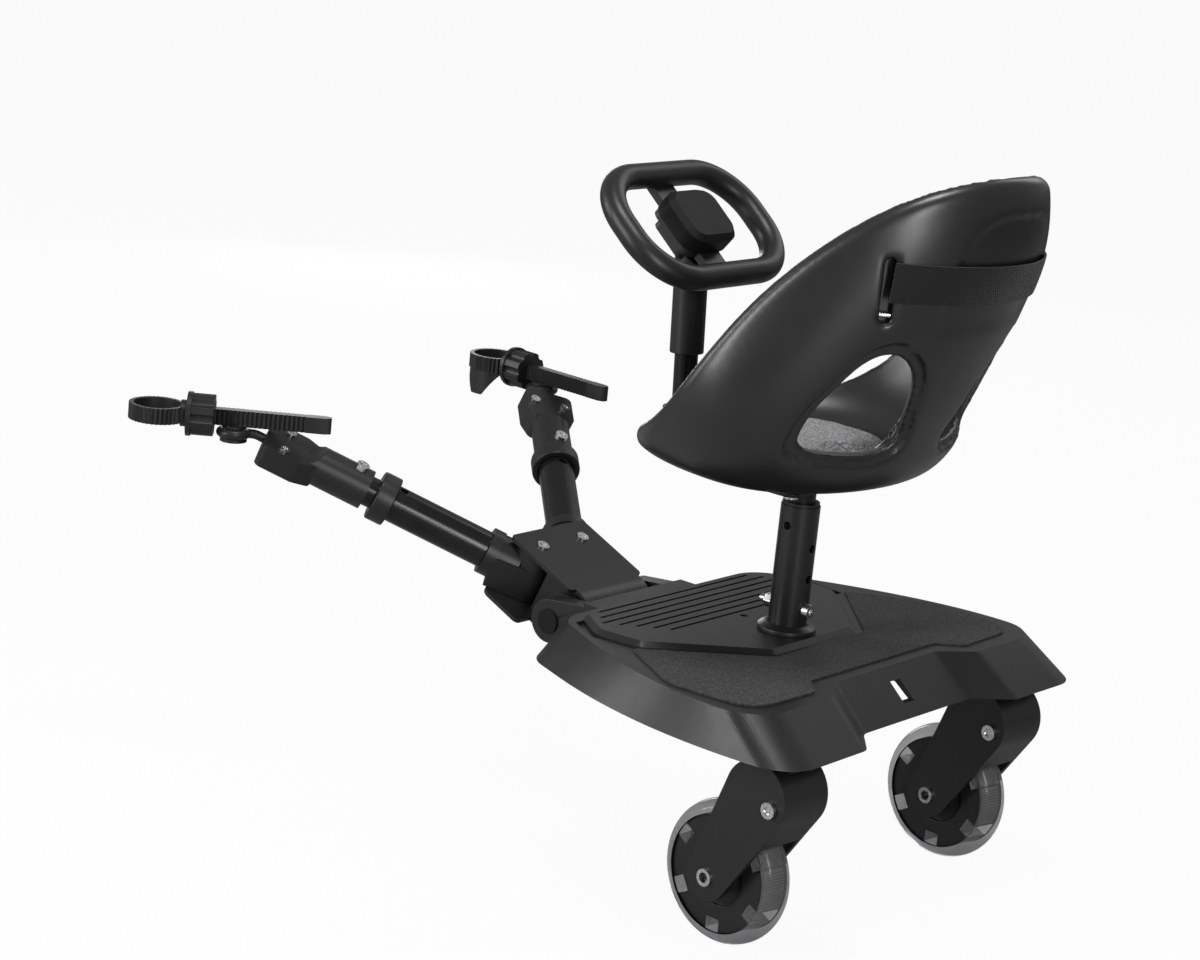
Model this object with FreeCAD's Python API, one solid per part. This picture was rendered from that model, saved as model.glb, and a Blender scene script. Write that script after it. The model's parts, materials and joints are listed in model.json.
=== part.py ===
import FreeCAD, Part
import math
import os

os.makedirs("parts", exist_ok=True)

V = FreeCAD.Vector
X = V(1, 0, 0)
Y = V(0, 1, 0)
Z = V(0, 0, 1)
SIDES = {"left": -1, "right": 1}

# Fits
RUN_FIT = 0.05            # radial clearance of a pin or tube that turns or slides
FACE_GAP = 0.4            # gap between faces of bodies that move past each other
SOFT_GAP = 0.3            # gap round soft pieces

# Casters
WHEEL_D = 100.0
WHEEL_W = 24.0
CORE_R = 41.0
CORE_W = 20.0
CORE_RECESS_R = 22.0
CORE_RECESS_DEPTH = 3.0
HUB_R = 14.0
KEY_COUNT = 6
KEY_W = 11.0
KEY_DEPTH = 9.0
TREAD_EDGE = 6.5
BEARING_R = 11.0
BEARING_W = 7.0
AXLE_R = 4.0
AXLE_SHOULDER_R = 6.0
AXLE_HEAD_R = 6.0
AXLE_HEAD_L = 2.5
AXLE_BORE_R = 3.6
AXLE_BORE_DEPTH = 5.0
SWIVEL_SPACING = 267.0
SWIVEL_Y = -42.0
TRAIL = 42.0
CASTER_YAW = -5.0
FORK_W = 44.0
FORK_PLATE = 4.0
FORK_WEB = 3.0
FORK_TOP_R = 26.0
FORK_TOP_BACK = 34.0      # fork's upper round, behind the axle
FORK_TOP_OVER = 17.0      # and above the wheel's top
FORK_AXLE_R = 17.0
ROCKER_BACK = 48.6        # pivot bolt behind the axle
ROCKER_OVER = 13.8        # and above the wheel's top
ROCKER_BOLT_R = 4.0
ROCKER_HEAD_R = 5.6
ROCKER_HEAD_L = 3.0
TYRE_GAP = 3.0
HEAD_BARREL_R = 7.0
HEAD_NECK_R = 8.5
HEAD_FLANGE_R = 21.0
HEAD_FLANGE = 4.0
STEM_R = 6.0
STEM_L = 14.0
NECK_ROOM = 1.0           # fork's opening round the neck
NECK_SWING = 5.0          # and ahead of it, where the fork rocks back
SPRING_R = 6.0
SPRING_WIRE_R = 1.0
SPRING_TURNS = 4
SPRING_FRONT = 20.0       # spring axis ahead of the swivel axis
SPRING_SEAT = 2.5
SPRING_OVER = 3.5         # spring's seat above the wheel
SPRING_L = 17.0
SPRING_ARM_W = 14.0
SPRING_ARM = 5.0

# Deck
DECK_OVER_WHEEL = 50.0    # skirt's lower edge above the wheels
DECK_DEPTH = 27.0
DECK_WALL = 3.5
DECK_PLATE = 4.5
DECK_HALF_TOP = ((112, 179, 32), (181, 45, 60), (171, -40, 32), (88, -40, 14), (62, -22, 14))
DECK_HALF_FOOT = ((132, 190, 34), (191, 50, 62), (179, -75, 30), (92, -74, 14), (66, -53, 14))
PLATEAU_RISE = 3.5
PLATEAU_STEP = 4.0
CHANNEL_W = 7.0           # channel beside the plateau
CHANNEL_DEPTH = 2.2
CHANNEL_BACK = 103.0
CHANNEL_FRONT = 166.0
PLATEAU_HALF = ((98, 172, 14), (121, 140, 16), (118, 104, 10), (50, 38, 8))
GROOVE_COUNT = 7
GROOVE_PITCH = 9.2
GROOVE_W = 2.4
GROOVE_DEPTH = 1.5
GROOVE_FRONT = 165.5
GROOVE_FRONT_X = 87.0
GROOVE_STEP_OUT = 9.0
GROOVE_STEP_IN = 7.6
GROOVE_WIDEST = 2
PAD_THICK = 1.2
PAD_HALF = ((128, 101, 6), (164, 42, 30), (158, -26, 22), (92, -28, 8), (76, -12, 8))
PAD_NECK_HALF = ((124, 100, 3), (53, 33, 8))
REAR_WINDOW = 12.0
CASTER_BOSS_R = 21.0
RIB_W = 3.0
RIB_X = (40.0, 90.0)
RIB_REACH = 250.0
DRAIN_R = 3.0
DRAIN_Y = 102.0

# Seat post
POST_Y = 64.6
POST_R = 14.0
POST_BORE_R = 12.0
POST_L = 92.0
POST_FLANGE_R = 21.0
POST_FLANGE = 6.0
BUSH_LIP = 2.5
BUSH_LIP_R = 13.2
BUSH_L = 30.0
INNER_POST_R = 10.0
INNER_POST_BORE_R = 8.0
INNER_POST_BELOW = 10.0   # inner post's lower end above the deck's plateau
HEIGHT_BOLT_UP = 17.5
HEIGHT_BOLT_R = 3.0
HEIGHT_BOLT_HEAD_R = 5.0
HEIGHT_BOLT_HEAD_L = 5.0
HEIGHT_HOLE_PITCH = 22.5
HEIGHT_HOLE_COUNT = 3
BOLT_HOLE_GAP = 0.2

# Seat
SEAT_OVER_POST = 22.0     # seat's underside above the outer post
SEAT_WALL = 12.0
SEAT_FLOOR = 12.0
SEAT_MIDDLE_Y = 60.0
SEAT_FRONT_POWER = 2.0
SEAT_BACK_POWER = 2.0
SEAT_POINTS = 16
# height above the seat's underside, half width, front and back of each level
SEAT_LEVELS = ((0, 58, 152, 20), (5, 92, 178, 2), (14, 115, 193, -14), (33, 130, 199, -25),
               (63, 139, 200, -38), (103, 138, 200, -55), (153, 127, 199, -78), (203, 119, 197, -87),
               (258, 110, 194, -79))
# rim's place ahead of the axles and its height above the underside
RIM_CURVE = ((230, 16), (190, 20), (155, 26), (100, 55), (40, 137), (-20, 202), (-62, 230), (-110, 241))
RIM_LIP_Z = 19.0          # front lip under the column
RIM_ROUND = 10.0
WINDOW_AIM = 40.0         # side windows look back by this angle
WINDOW_X = 65.5
WINDOW_Y = -19.2
WINDOW_UP = 70.3          # window's middle above the seat's underside
WINDOW_DEPTH = 35.0
WINDOW_RIM = 1.22          # recess round the window, as a share of the window
WINDOW_RIM_DEPTH = 5.0
# window outline, ahead of and above its middle
WINDOW_OUTLINE = ((41, -20), (32, 2), (18, 20), (0, 38), (-17, 42), (-29, 32), (-33, 16), (-31, -4),
                  (-28, -21), (-18, -30), (3, -32), (24, -30))
SLOT_Y = -42.0
SLOT_AIM = 42.0
SLOT_W = 8.0
SLOT_H = 44.0
SLOT_UP = 157.5           # belt slot's middle above the underside
BELT_W = 27.0
BELT_UP = 163.5
BELT_THICK = 1.5
ARCH_HALF_W = 52.0
ARCH_TOP = 210.5
ARCH_FOOT = 130.5
ARCH_ROUND = 40.0
ARCH_DEPTH = 2.5
BELT_TUCK = 8.0           # belt's end inside the shell
SEAT_PLATE_HALF_W = 58.0
SEAT_PLATE_FRONT = 98.0
SEAT_PLATE_BACK = 32.0
SEAT_PLATE = 3.0
SEAT_PLATE_CORNER = 8.0
SEAT_SCREW_R = 3.0
SEAT_SCREW_HEAD_R = 5.0
SEAT_SCREW_HEAD_L = 2.5
SEAT_SCREW_X = 48.0
SEAT_SCREW_INSET = 9.0
SEAT_SCREW_L = 8.0
# height above the seat's floor, half width, front and back of the cushion
CUSHION_LEVELS = ((0, 40, 128, 44), (3, 57, 138, 34), (8, 78, 148, 18), (11, 64, 136, 30))

# Steering
COLUMN_Y = 176.0
COLUMN_LEAN = 3.5
COLUMN_R = 8.5
COLUMN_FLANGE_R = 15.0
COLUMN_FLANGE = 4.0
COLUMN_SINK = 6.0         # flange's depth in the seat's lip
SLEEVE_R = 12.3
SLEEVE_FROM = 44.0        # sleeve's lower end above the column's foot
SLEEVE_TO = 106.0
STEER_TILT = 40.0
STEER_UP = 136.5          # wheel's centre above the column's foot, along the column
STEER_HALF_W = 74.0
STEER_HALF_H = 46.0
STEER_CORNER = 40.0
STEER_GRIP_R = 9.2
SPOKE_W = 22.0
SPOKE_THICK = 6.0
HUB_PLATE_W = 44.0
HUB_DROP = 6.0
HUB_COVER_W = 52.0
HUB_COVER_H = 47.0
HUB_COVER_THICK = 16.0
HUB_COVER_ROUND = 4.0
HUB_BRACKET_W = 34.0
HUB_BRACKET_THICK = 8.0
SPINDLE_R = 5.0
SPINDLE_HEAD_R = 8.0
SPINDLE_HEAD_L = 3.0

# Front hinge
HINGE_Y = 235.0
HINGE_UP = 0.0            # hinge axis above the skirt's lower edge
BRACKET_TILT = 23.2
EAR_R = 16.5
EAR_IN = 42.0
EAR_OUT = 57.0
HINGE_PIN_R = 5.0
HINGE_CAP_R = 9.0
HINGE_CAP_L = 1.5
BARREL_R = 18.0
# ear's side, ahead of the axles and above the skirt's lower edge
EAR_ARM = ((182, 22), (235, 16.5), (235, -16.5), (190, 2))
CROSS_BACK = 180.0
CROSS_FRONT = 204.0
CROSS_UP = 2.0            # cross bar above the skirt's lower edge
CROSS_H = 20.0
TRAY_BOTTOM = -21.5
TRAY = 3.0
TRAY_FRONT = 66.0
TRAY_WIDE_FROM = 24.0
TRAY_CORNER = 10.0
WEB_HALF_W = 33.0
WEB_FRONT = 33.0
COVER_TOP = 23.0
COVER = 3.0
COVER_HALF_W = 41.5
COVER_FRONT = 70.8
COVER_BACK = 3.3
COVER_CORNER = 4.0
SHIELD_HALF_W = 36.0
SHIELD_SWEEP = 78.0
PIVOT_X = 22.9
PIVOT_S = 53.0
PIVOT_R = 4.0
PIVOT_HEAD_R = 4.6
PIVOT_HEAD_L = 1.4
PIVOT_NUT_R = 6.5
PIVOT_NUT_L = 5.0

# Arms
SPREAD = 38.0
ARM_LIFT = 4.5
TUBE_H = -2.0
TUBE_R = 14.0
TUBE_BORE_R = 11.5
TUBE_FROM = 12.0
TUBE_TO = 130.0
SOCKET_R = 17.0
SOCKET_TO = 38.0
SOCKET_BLOCK = 30.0
SOCKET_BLOCK_TOP = 7.0    # block's top above the pivot's middle
SOCKET_RING = 9.0
SOCKET_RING_R = 18.0
COLLAR_R = 19.0
COLLAR_W = 14.0
BUTTON_AT = 112.0
BUTTON_R = 3.2
SLIDE_FROM = 50.0
SLIDE_BORE_R = 9.3
SLIDE_OUT = {"left": 7.0, "right": 0.5}   # how far each inner tube is drawn out in the photo
HEAD_L = 84.0
HEAD_R = 15.2
HEAD_BODY_L = 40.0        # round part, up to the scoop
HEAD_SCOOP_R = 11.0
HEAD_GRIP = 30.0          # length of inner tube inside the clamp head
HEAD_WIDE_L = 30.0
HEAD_WIDE = 40.0
HEAD_THICK = 18.0
HEAD_DROP = 3.0           # lug's middle below the tube's
HEAD_WAIST = 28.0
HEAD_SHOULDER = 14.0
HEAD_ROUND = 5.0
HEAD_BOLT_AT = 11.0
HEAD_BOLT_CAP_R = 5.0
HEAD_BOLT_CAP_L = 4.0
HEAD_SCREW_X = 13.0
HEAD_SCREW_BACK = 16.0
HEAD_SCREW_R = 4.0
HEAD_SCREW_L = 2.0
ROD_R = 3.5
ROD_OUT = 5.0
ROD_IN = 20.0
ROD_BEND_R = 14.0

# Straps
BOSS_R = 6.0
BOSS_CAP_R = 10.0
BOSS_CAP = 2.5
BOSS_SHOULDER_R = 9.0
STRAP_UP = 11.2           # band's middle above the rod's eye
STRAP_H = 12.0
STRAP_THICK = 9.0
TAIL_L = 71.0
TAIL_TIP = 16.0
RIB_PITCH = 3.4
RIB_RISE = 1.1
NECK_R = 9.9
NUT_FROM = 15.0
NUT_L = 20.0
NUT_R = 15.5
NUT_FLUTES = 8
NUT_FLUTE_R = 4.0
NUT_FLANGE_R = 16.5
NUT_FLANGE = 3.5
LOOP_BORE_R = 17.5
LOOP_WALL = 3.5
LOOP_AT = 57.0
STRAP_TURN = {"left": 0.0, "right": 38.0}  # each strap's turn on its eye in the photo
TAB_TOP_W = 37.0
TAB_W = 11.0
TAB_L = 20.0
TAB_RELIEF = 1.0          # tab stands back from the loop's bore


# Shared shapes

def cylinder(start, axis, radius, length):
    return Part.makeCylinder(radius, length, start, axis)


def box(low, high):
    size = high - low
    return Part.makeBox(size.x, size.y, size.z, low)


def rounded_wire(corners, z):
    """Closed outline through (x, y, radius) corners, with each corner rounded."""
    count = len(corners)
    spans = []
    for index, (x, y, radius) in enumerate(corners):
        here = V(x, y, z)
        before = V(*corners[index - 1][:2], z) - here
        after = V(*corners[(index + 1) % count][:2], z) - here
        before.normalize()
        after.normalize()
        half = before.getAngle(after) / 2
        reach = radius / math.tan(half)
        middle = before + after
        middle.normalize()
        top = here + middle * (radius / math.sin(half) - radius)
        spans.append((here + before * reach, top, here + after * reach))
    edges = []
    for index, (start, top, end) in enumerate(spans):
        edges.append(Part.Arc(start, top, end).toShape())
        edges.append(Part.LineSegment(end, spans[(index + 1) % count][0]).toShape())
    return Part.Wire(edges)


def mirrored(half):
    """Both sides of an outline given for the right half, front to back."""
    return list(half) + [(-x, y, radius) for x, y, radius in reversed(half)]


def inset(corners, amount):
    """The same outline drawn in by amount, clockwise corners."""
    count = len(corners)
    moved = []
    for index in range(count):
        before = V(*corners[index - 1][:2], 0)
        here = V(*corners[index][:2], 0)
        after = V(*corners[(index + 1) % count][:2], 0)
        into = here - before
        out = after - here
        into.normalize()
        out.normalize()
        normal_in = V(into.y, -into.x, 0)
        normal_out = V(out.y, -out.x, 0)
        bisector = normal_in + normal_out
        bisector.normalize()
        point = here + bisector * (amount / bisector.dot(normal_in))
        turn = into.x * out.y - into.y * out.x
        radius = corners[index][2] + (amount if turn > 0 else -amount)
        moved.append((point.x, point.y, max(radius, 1.0)))
    return moved


def slab(corners, bottom, top):
    face = Part.Face(rounded_wire(corners, bottom))
    return face.extrude(Z * (top - bottom))


def profile_prism(points, low_x, high_x):
    """Prism along X from a polygon given as (y, z) points."""
    wire = Part.makePolygon([V(low_x, y, z) for y, z in points + points[:1]])
    return Part.Face(wire).extrude(X * (high_x - low_x))


def moved(shape, placement):
    result = shape.copy()
    result.Placement = placement.multiply(result.Placement)
    return result


def turned(axis, angle):
    return FreeCAD.Placement(V(0, 0, 0), FreeCAD.Rotation(axis, angle))


def shifted(offset):
    return FreeCAD.Placement(offset, FreeCAD.Rotation())


def fused(first, *others):
    return first.multiFuse(list(others)).removeSplitter()


nodes = {}


# Deck

def deck_body(corners_top, corners_foot, top, bottom):
    return Part.makeLoft([rounded_wire(corners_foot, bottom), rounded_wire(corners_top, top)], True, True)


def stem_places():
    return [V(side * SWIVEL_SPACING / 2, SWIVEL_Y, 0) for side in SIDES.values()]


DECK_BOTTOM = WHEEL_D + DECK_OVER_WHEEL
DECK_TOP = DECK_BOTTOM + DECK_DEPTH
PLATEAU_TOP = DECK_TOP + PLATEAU_RISE
deck_top = mirrored(DECK_HALF_TOP)
deck_foot = mirrored(DECK_HALF_FOOT)
deck_outer = deck_body(deck_top, deck_foot, DECK_TOP, DECK_BOTTOM)
deck_hollow = deck_body(inset(deck_top, DECK_WALL), inset(deck_foot, DECK_WALL),
                        DECK_TOP - DECK_PLATE, DECK_BOTTOM)
FLANGE_TOP = DECK_BOTTOM + 1.5
STEM_TOP = FLANGE_TOP + STEM_L


def make_deck():
    deck = deck_outer.cut(deck_hollow)
    plateau_foot = mirrored(PLATEAU_HALF)
    plateau = deck_body(inset(plateau_foot, PLATEAU_STEP), plateau_foot, PLATEAU_TOP, DECK_TOP)
    channel = slab(inset(plateau_foot, -CHANNEL_W), DECK_TOP - CHANNEL_DEPTH, PLATEAU_TOP)
    channel = channel.cut(slab(plateau_foot, DECK_TOP - CHANNEL_DEPTH, PLATEAU_TOP))
    sides = box(V(-RIB_REACH, CHANNEL_BACK, DECK_BOTTOM), V(RIB_REACH, CHANNEL_FRONT, PLATEAU_TOP))
    deck = deck.cut(channel.common(sides))
    bosses = []
    for place in stem_places():
        boss = cylinder(place + Z * (FLANGE_TOP + FACE_GAP), Z, CASTER_BOSS_R, DECK_TOP - FLANGE_TOP - 1)
        bosses.append(boss.common(deck_outer))
    post_boss = cylinder(V(0, POST_Y, DECK_BOTTOM + DECK_PLATE), Z, POST_FLANGE_R,
                         DECK_TOP - DECK_BOTTOM - DECK_PLATE)
    deck = fused(deck, plateau, post_boss, *bosses)
    for place in stem_places():
        deck = deck.cut(cylinder(place + Z * DECK_BOTTOM, Z, STEM_R + RUN_FIT, STEM_TOP + 1 - DECK_BOTTOM))
        deck = deck.cut(cylinder(place, Z, HEAD_FLANGE_R + 1, FLANGE_TOP + FACE_GAP))
    grooves = []
    half = GROOVE_FRONT_X
    for index in range(GROOVE_COUNT):
        y = GROOVE_FRONT - index * GROOVE_PITCH
        low = V(-half, y - GROOVE_W / 2, PLATEAU_TOP - GROOVE_DEPTH)
        grooves.append(box(low, V(half, y + GROOVE_W / 2, PLATEAU_TOP + 1)))
        half += GROOVE_STEP_OUT if index < GROOVE_WIDEST else -GROOVE_STEP_IN
    window_z = (DECK_TOP + DECK_BOTTOM) / 2 - REAR_WINDOW / 2
    window = box(V(-REAR_WINDOW / 2, -RIB_REACH, window_z), V(REAR_WINDOW / 2, 0, window_z + REAR_WINDOW))
    drain = cylinder(V(0, DRAIN_Y, DECK_BOTTOM), Z, DRAIN_R, PLATEAU_TOP)
    for cut in grooves + [window, drain]:
        deck = deck.cut(cut)
    return deck


def make_deck_ribs():
    """Stiffening ribs set in the deck's hollow underside."""
    ribs = []
    for x in RIB_X:
        for side in SIDES.values():
            low = V(side * x - RIB_W / 2, -RIB_REACH, DECK_BOTTOM + DECK_PLATE)
            ribs.append(box(low, low + V(RIB_W, 2 * RIB_REACH, DECK_DEPTH)).common(deck_hollow))
    return Part.makeCompound(ribs)


def make_grip_pad():
    pad = slab(mirrored(PAD_HALF), DECK_TOP, DECK_TOP + PAD_THICK)
    neck = [(x, y, radius) for x, y, radius in PAD_NECK_HALF]
    front = [(PAD_NECK_HALF[0][0], 300, 1)]
    return pad.cut(slab(mirrored(front + neck), DECK_TOP - 1, DECK_TOP + PAD_THICK + 1))


nodes["deck"] = make_deck()
nodes["deck_ribs"] = make_deck_ribs()
nodes["grip_pad"] = make_grip_pad()


# Seat post

post_foot = V(0, POST_Y, PLATEAU_TOP)
post_top = PLATEAU_TOP + POST_L
SEAT_Z = post_top + SEAT_OVER_POST
bolt_z = PLATEAU_TOP + HEIGHT_BOLT_UP
bolt_hole = cylinder(V(0, POST_Y - 3 * POST_R, bolt_z), Y, HEIGHT_BOLT_R + BOLT_HOLE_GAP, 6 * POST_R)


def make_outer_post():
    tube = cylinder(post_foot, Z, POST_R, POST_L)
    tube = tube.cut(cylinder(post_foot, Z, POST_BORE_R, POST_L)).cut(bolt_hole)
    for index in range(1, HEIGHT_HOLE_COUNT):
        hole_z = bolt_z + index * HEIGHT_HOLE_PITCH
        tube = tube.cut(cylinder(V(0, POST_Y, hole_z), -Y, HEIGHT_BOLT_R, 2 * POST_R))
    side_hole = cylinder(V(0, POST_Y, post_top - POST_R), -X, HEIGHT_BOLT_R, 2 * POST_R)
    return tube.cut(side_hole)


def make_post_bush():
    start = V(0, POST_Y, post_top - BUSH_L)
    bush = cylinder(start, Z, POST_BORE_R, BUSH_L)
    lip = cylinder(V(0, POST_Y, post_top), Z, BUSH_LIP_R, BUSH_LIP)
    side_hole = cylinder(V(0, POST_Y, post_top - POST_R), -X, HEIGHT_BOLT_R, 2 * POST_R)
    back_holes = [cylinder(V(0, POST_Y, bolt_z + index * HEIGHT_HOLE_PITCH), -Y, HEIGHT_BOLT_R, 2 * POST_R)
                  for index in range(1, HEIGHT_HOLE_COUNT)]
    bush = fused(bush, lip).cut(cylinder(start, Z, INNER_POST_R, BUSH_L + BUSH_LIP)).cut(side_hole)
    for hole in back_holes:
        bush = bush.cut(hole)
    return bush


def make_post_flange():
    rim = cylinder(post_foot, Z, POST_FLANGE_R, POST_FLANGE / 2)
    shoulder = Part.makeCone(POST_FLANGE_R, POST_R + 2, POST_FLANGE / 2, post_foot + Z * POST_FLANGE / 2, Z)
    return fused(rim, shoulder).cut(cylinder(post_foot, Z, POST_R, POST_FLANGE))


def make_inner_post():
    start = V(0, POST_Y, PLATEAU_TOP + INNER_POST_BELOW)
    length = SEAT_Z - SEAT_PLATE - start.z
    tube = cylinder(start, Z, INNER_POST_R, length)
    return tube.cut(cylinder(start, Z, INNER_POST_BORE_R, length)).cut(bolt_hole)


def make_height_bolt():
    shank = cylinder(V(0, POST_Y - POST_R, bolt_z), Y, HEIGHT_BOLT_R, 2 * POST_R + 2 * HEIGHT_BOLT_HEAD_L)
    head_start = V(0, POST_Y - POST_R - HEIGHT_BOLT_HEAD_L, bolt_z)
    head = cylinder(head_start, Y, HEIGHT_BOLT_HEAD_R, HEIGHT_BOLT_HEAD_L)
    recess = cylinder(head_start, Y, HEIGHT_BOLT_R * 0.8, HEIGHT_BOLT_HEAD_L / 2)
    seat = cylinder(V(0, POST_Y, PLATEAU_TOP), Z, POST_R, POST_L)
    return fused(head.cut(seat), shank).cut(recess)


def hexagon(start, axis, radius, length):
    points = []
    for index in range(7):
        angle = math.radians(60 * index)
        points.append(V(radius * math.cos(angle), radius * math.sin(angle), 0))
    prism = Part.Face(Part.makePolygon(points)).extrude(Z * length)
    return moved(prism, FreeCAD.Placement(start, FreeCAD.Rotation(Z, axis)))


def make_height_nut():
    start = V(0, POST_Y + POST_R - 1, bolt_z)
    nut = hexagon(start, Y, HEIGHT_BOLT_HEAD_R * 1.15, HEIGHT_BOLT_HEAD_L + 1)
    nut = nut.cut(cylinder(V(0, POST_Y, PLATEAU_TOP), Z, POST_R, POST_L))
    return nut.cut(cylinder(start, Y, HEIGHT_BOLT_R, 3 * HEIGHT_BOLT_HEAD_L))


nodes["post_flange"] = make_post_flange()
nodes["outer_post"] = make_outer_post()
nodes["post_bush"] = make_post_bush()
nodes["inner_post"] = make_inner_post()
nodes["height_bolt"] = make_height_bolt()
nodes["height_nut"] = make_height_nut()


# Seat

def seat_size(level):
    """Half width, front and back of the shell at a height above its underside."""
    pairs = zip(SEAT_LEVELS, SEAT_LEVELS[1:])
    for lower, upper in pairs:
        if level <= upper[0]:
            share = (level - lower[0]) / (upper[0] - lower[0])
            return [a + share * (b - a) for a, b in zip(lower[1:], upper[1:])]
    return list(SEAT_LEVELS[-1][1:])


def egg_wire(z, half_width, front, back):
    """Smooth egg-shaped outline, blunt behind and narrower in front."""
    points = []
    for index in range(SEAT_POINTS):
        angle = 2 * math.pi * (index + 0.5) / SEAT_POINTS
        ahead = math.sin(angle)
        across = math.cos(angle)
        power = SEAT_FRONT_POWER if ahead > 0 else SEAT_BACK_POWER
        reach = front - SEAT_MIDDLE_Y if ahead > 0 else SEAT_MIDDLE_Y - back
        x = half_width * math.copysign(abs(across) ** (2 / power), across)
        y = SEAT_MIDDLE_Y + reach * math.copysign(abs(ahead) ** (2 / power), ahead)
        points.append(V(x, y, z))
    curve = Part.BSplineCurve()
    curve.interpolate(Points=points, PeriodicFlag=True)
    return Part.Wire(curve.toShape())


def seat_body(lift, grow):
    wires = []
    for level, half_width, front, back in SEAT_LEVELS:
        z = SEAT_Z + level + lift
        wires.append(egg_wire(z, half_width + grow, front + grow, back - grow))
    return Part.makeLoft(wires, True, False)


def seat_above_rim():
    """Everything above the shell's sloping rim."""
    curve = Part.BSplineCurve()
    curve.interpolate(Points=[V(0, y, SEAT_Z + level) for y, level in RIM_CURVE])
    ceiling = SEAT_Z + 2 * SEAT_LEVELS[-1][0]
    front = curve.StartPoint
    back = curve.EndPoint
    corners = [back, V(0, back.y, ceiling), V(0, front.y, ceiling), front]
    edges = [curve.toShape()]
    edges += [Part.LineSegment(a, b).toShape() for a, b in zip(corners, corners[1:])]
    face = Part.Face(Part.Wire(edges))
    return moved(face.extrude(X * 400), shifted(V(-200, 0, 0)))


def window_cut(side, spread):
    """Rounded side window, cut square to the shell's wall behind the hips."""
    curve = Part.BSplineCurve()
    points = [V(-WINDOW_DEPTH, y * spread, z * spread) for y, z in WINDOW_OUTLINE]
    curve.interpolate(Points=points, PeriodicFlag=True)
    face = Part.Face(Part.Wire(curve.toShape()))
    prism = face.extrude(X * 3 * WINDOW_DEPTH)
    aim = FreeCAD.Rotation(Z, -WINDOW_AIM)
    prism = moved(prism, FreeCAD.Placement(V(WINDOW_X, WINDOW_Y, SEAT_Z + WINDOW_UP), aim))
    return prism if side > 0 else prism.mirror(V(0, 0, 0), X)


def at_slot(shape, side, z):
    """Puts a shape built at the origin, pointing along X, at a belt slot."""
    half_width, front, back = seat_size(z - SEAT_Z)
    share = (SEAT_MIDDLE_Y - SLOT_Y) / (SEAT_MIDDLE_Y - back)
    wall_x = half_width * (1 - share ** SEAT_BACK_POWER) ** (1 / SEAT_BACK_POWER)
    aim = FreeCAD.Rotation(Z, -SLOT_AIM)
    placed = moved(shape, FreeCAD.Placement(V(wall_x, SLOT_Y, z), aim))
    return placed if side > 0 else placed.mirror(V(0, 0, 0), X)


column_foot = V(0, COLUMN_Y, SEAT_Z + RIM_LIP_Z)
seat_outer = seat_body(0, 0)
seat_inner = seat_body(SEAT_FLOOR, -SEAT_WALL)
above_rim = seat_above_rim()
screw_places = [V(x, y, SEAT_Z) for x in (-SEAT_SCREW_X, SEAT_SCREW_X)
                for y in (SEAT_PLATE_BACK + SEAT_SCREW_INSET, SEAT_PLATE_FRONT - SEAT_SCREW_INSET)]


def make_seat_shell():
    body = seat_outer.cut(above_rim)
    rim = [max(body.Edges, key=lambda edge: edge.Length)]
    body = body.makeFillet(RIM_ROUND, rim)
    shell = body.cut(seat_inner)
    recess_floor = seat_body(0, -WINDOW_RIM_DEPTH)
    slot = box(V(-3 * SEAT_WALL, -SLOT_W / 2, -SLOT_H / 2), V(3 * SEAT_WALL, SLOT_W / 2, SLOT_H / 2))
    for side in SIDES.values():
        shell = shell.cut(window_cut(side, 1.0))
        shell = shell.cut(window_cut(side, WINDOW_RIM).cut(recess_floor))
        shell = shell.cut(at_slot(slot, side, SEAT_Z + SLOT_UP))
    arch_half = ((ARCH_HALF_W, ARCH_TOP, ARCH_ROUND), (ARCH_HALF_W, ARCH_FOOT, 2))
    arch = Part.Face(rounded_wire(mirrored(arch_half), 0)).extrude(Z * 200)
    arch = moved(moved(arch, turned(X, 90)), shifted(Z * SEAT_Z))
    shell = shell.cut(arch.cut(seat_body(0, -ARCH_DEPTH)))
    for place in screw_places:
        shell = shell.cut(cylinder(place - Z, Z, SEAT_SCREW_R, SEAT_SCREW_L + 1))
    return shell.cut(cylinder(column_foot - Z * COLUMN_SINK, Z, COLUMN_FLANGE_R, 3 * COLUMN_SINK))


def make_seat_plate():
    half = ((SEAT_PLATE_HALF_W, SEAT_PLATE_FRONT, SEAT_PLATE_CORNER),
            (SEAT_PLATE_HALF_W, SEAT_PLATE_BACK, SEAT_PLATE_CORNER))
    plate = slab(mirrored(half), SEAT_Z - SEAT_PLATE, SEAT_Z)
    for place in screw_places:
        plate = plate.cut(cylinder(place, -Z, SEAT_SCREW_R, SEAT_PLATE))
    return plate


def make_seat_screws():
    screws = []
    for place in screw_places:
        head = cylinder(place - Z * SEAT_PLATE, -Z, SEAT_SCREW_HEAD_R, SEAT_SCREW_HEAD_L)
        shank = cylinder(place - Z * SEAT_PLATE, Z, SEAT_SCREW_R, SEAT_PLATE + SEAT_SCREW_L)
        screws.append(fused(head, shank))
    return Part.makeCompound(screws)


def make_seat_pad():
    floor = SEAT_Z + SEAT_FLOOR + SOFT_GAP
    wires = [egg_wire(floor + level, half, front, back) for level, half, front, back in CUSHION_LEVELS]
    return Part.makeLoft(wires, True, True)


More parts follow.
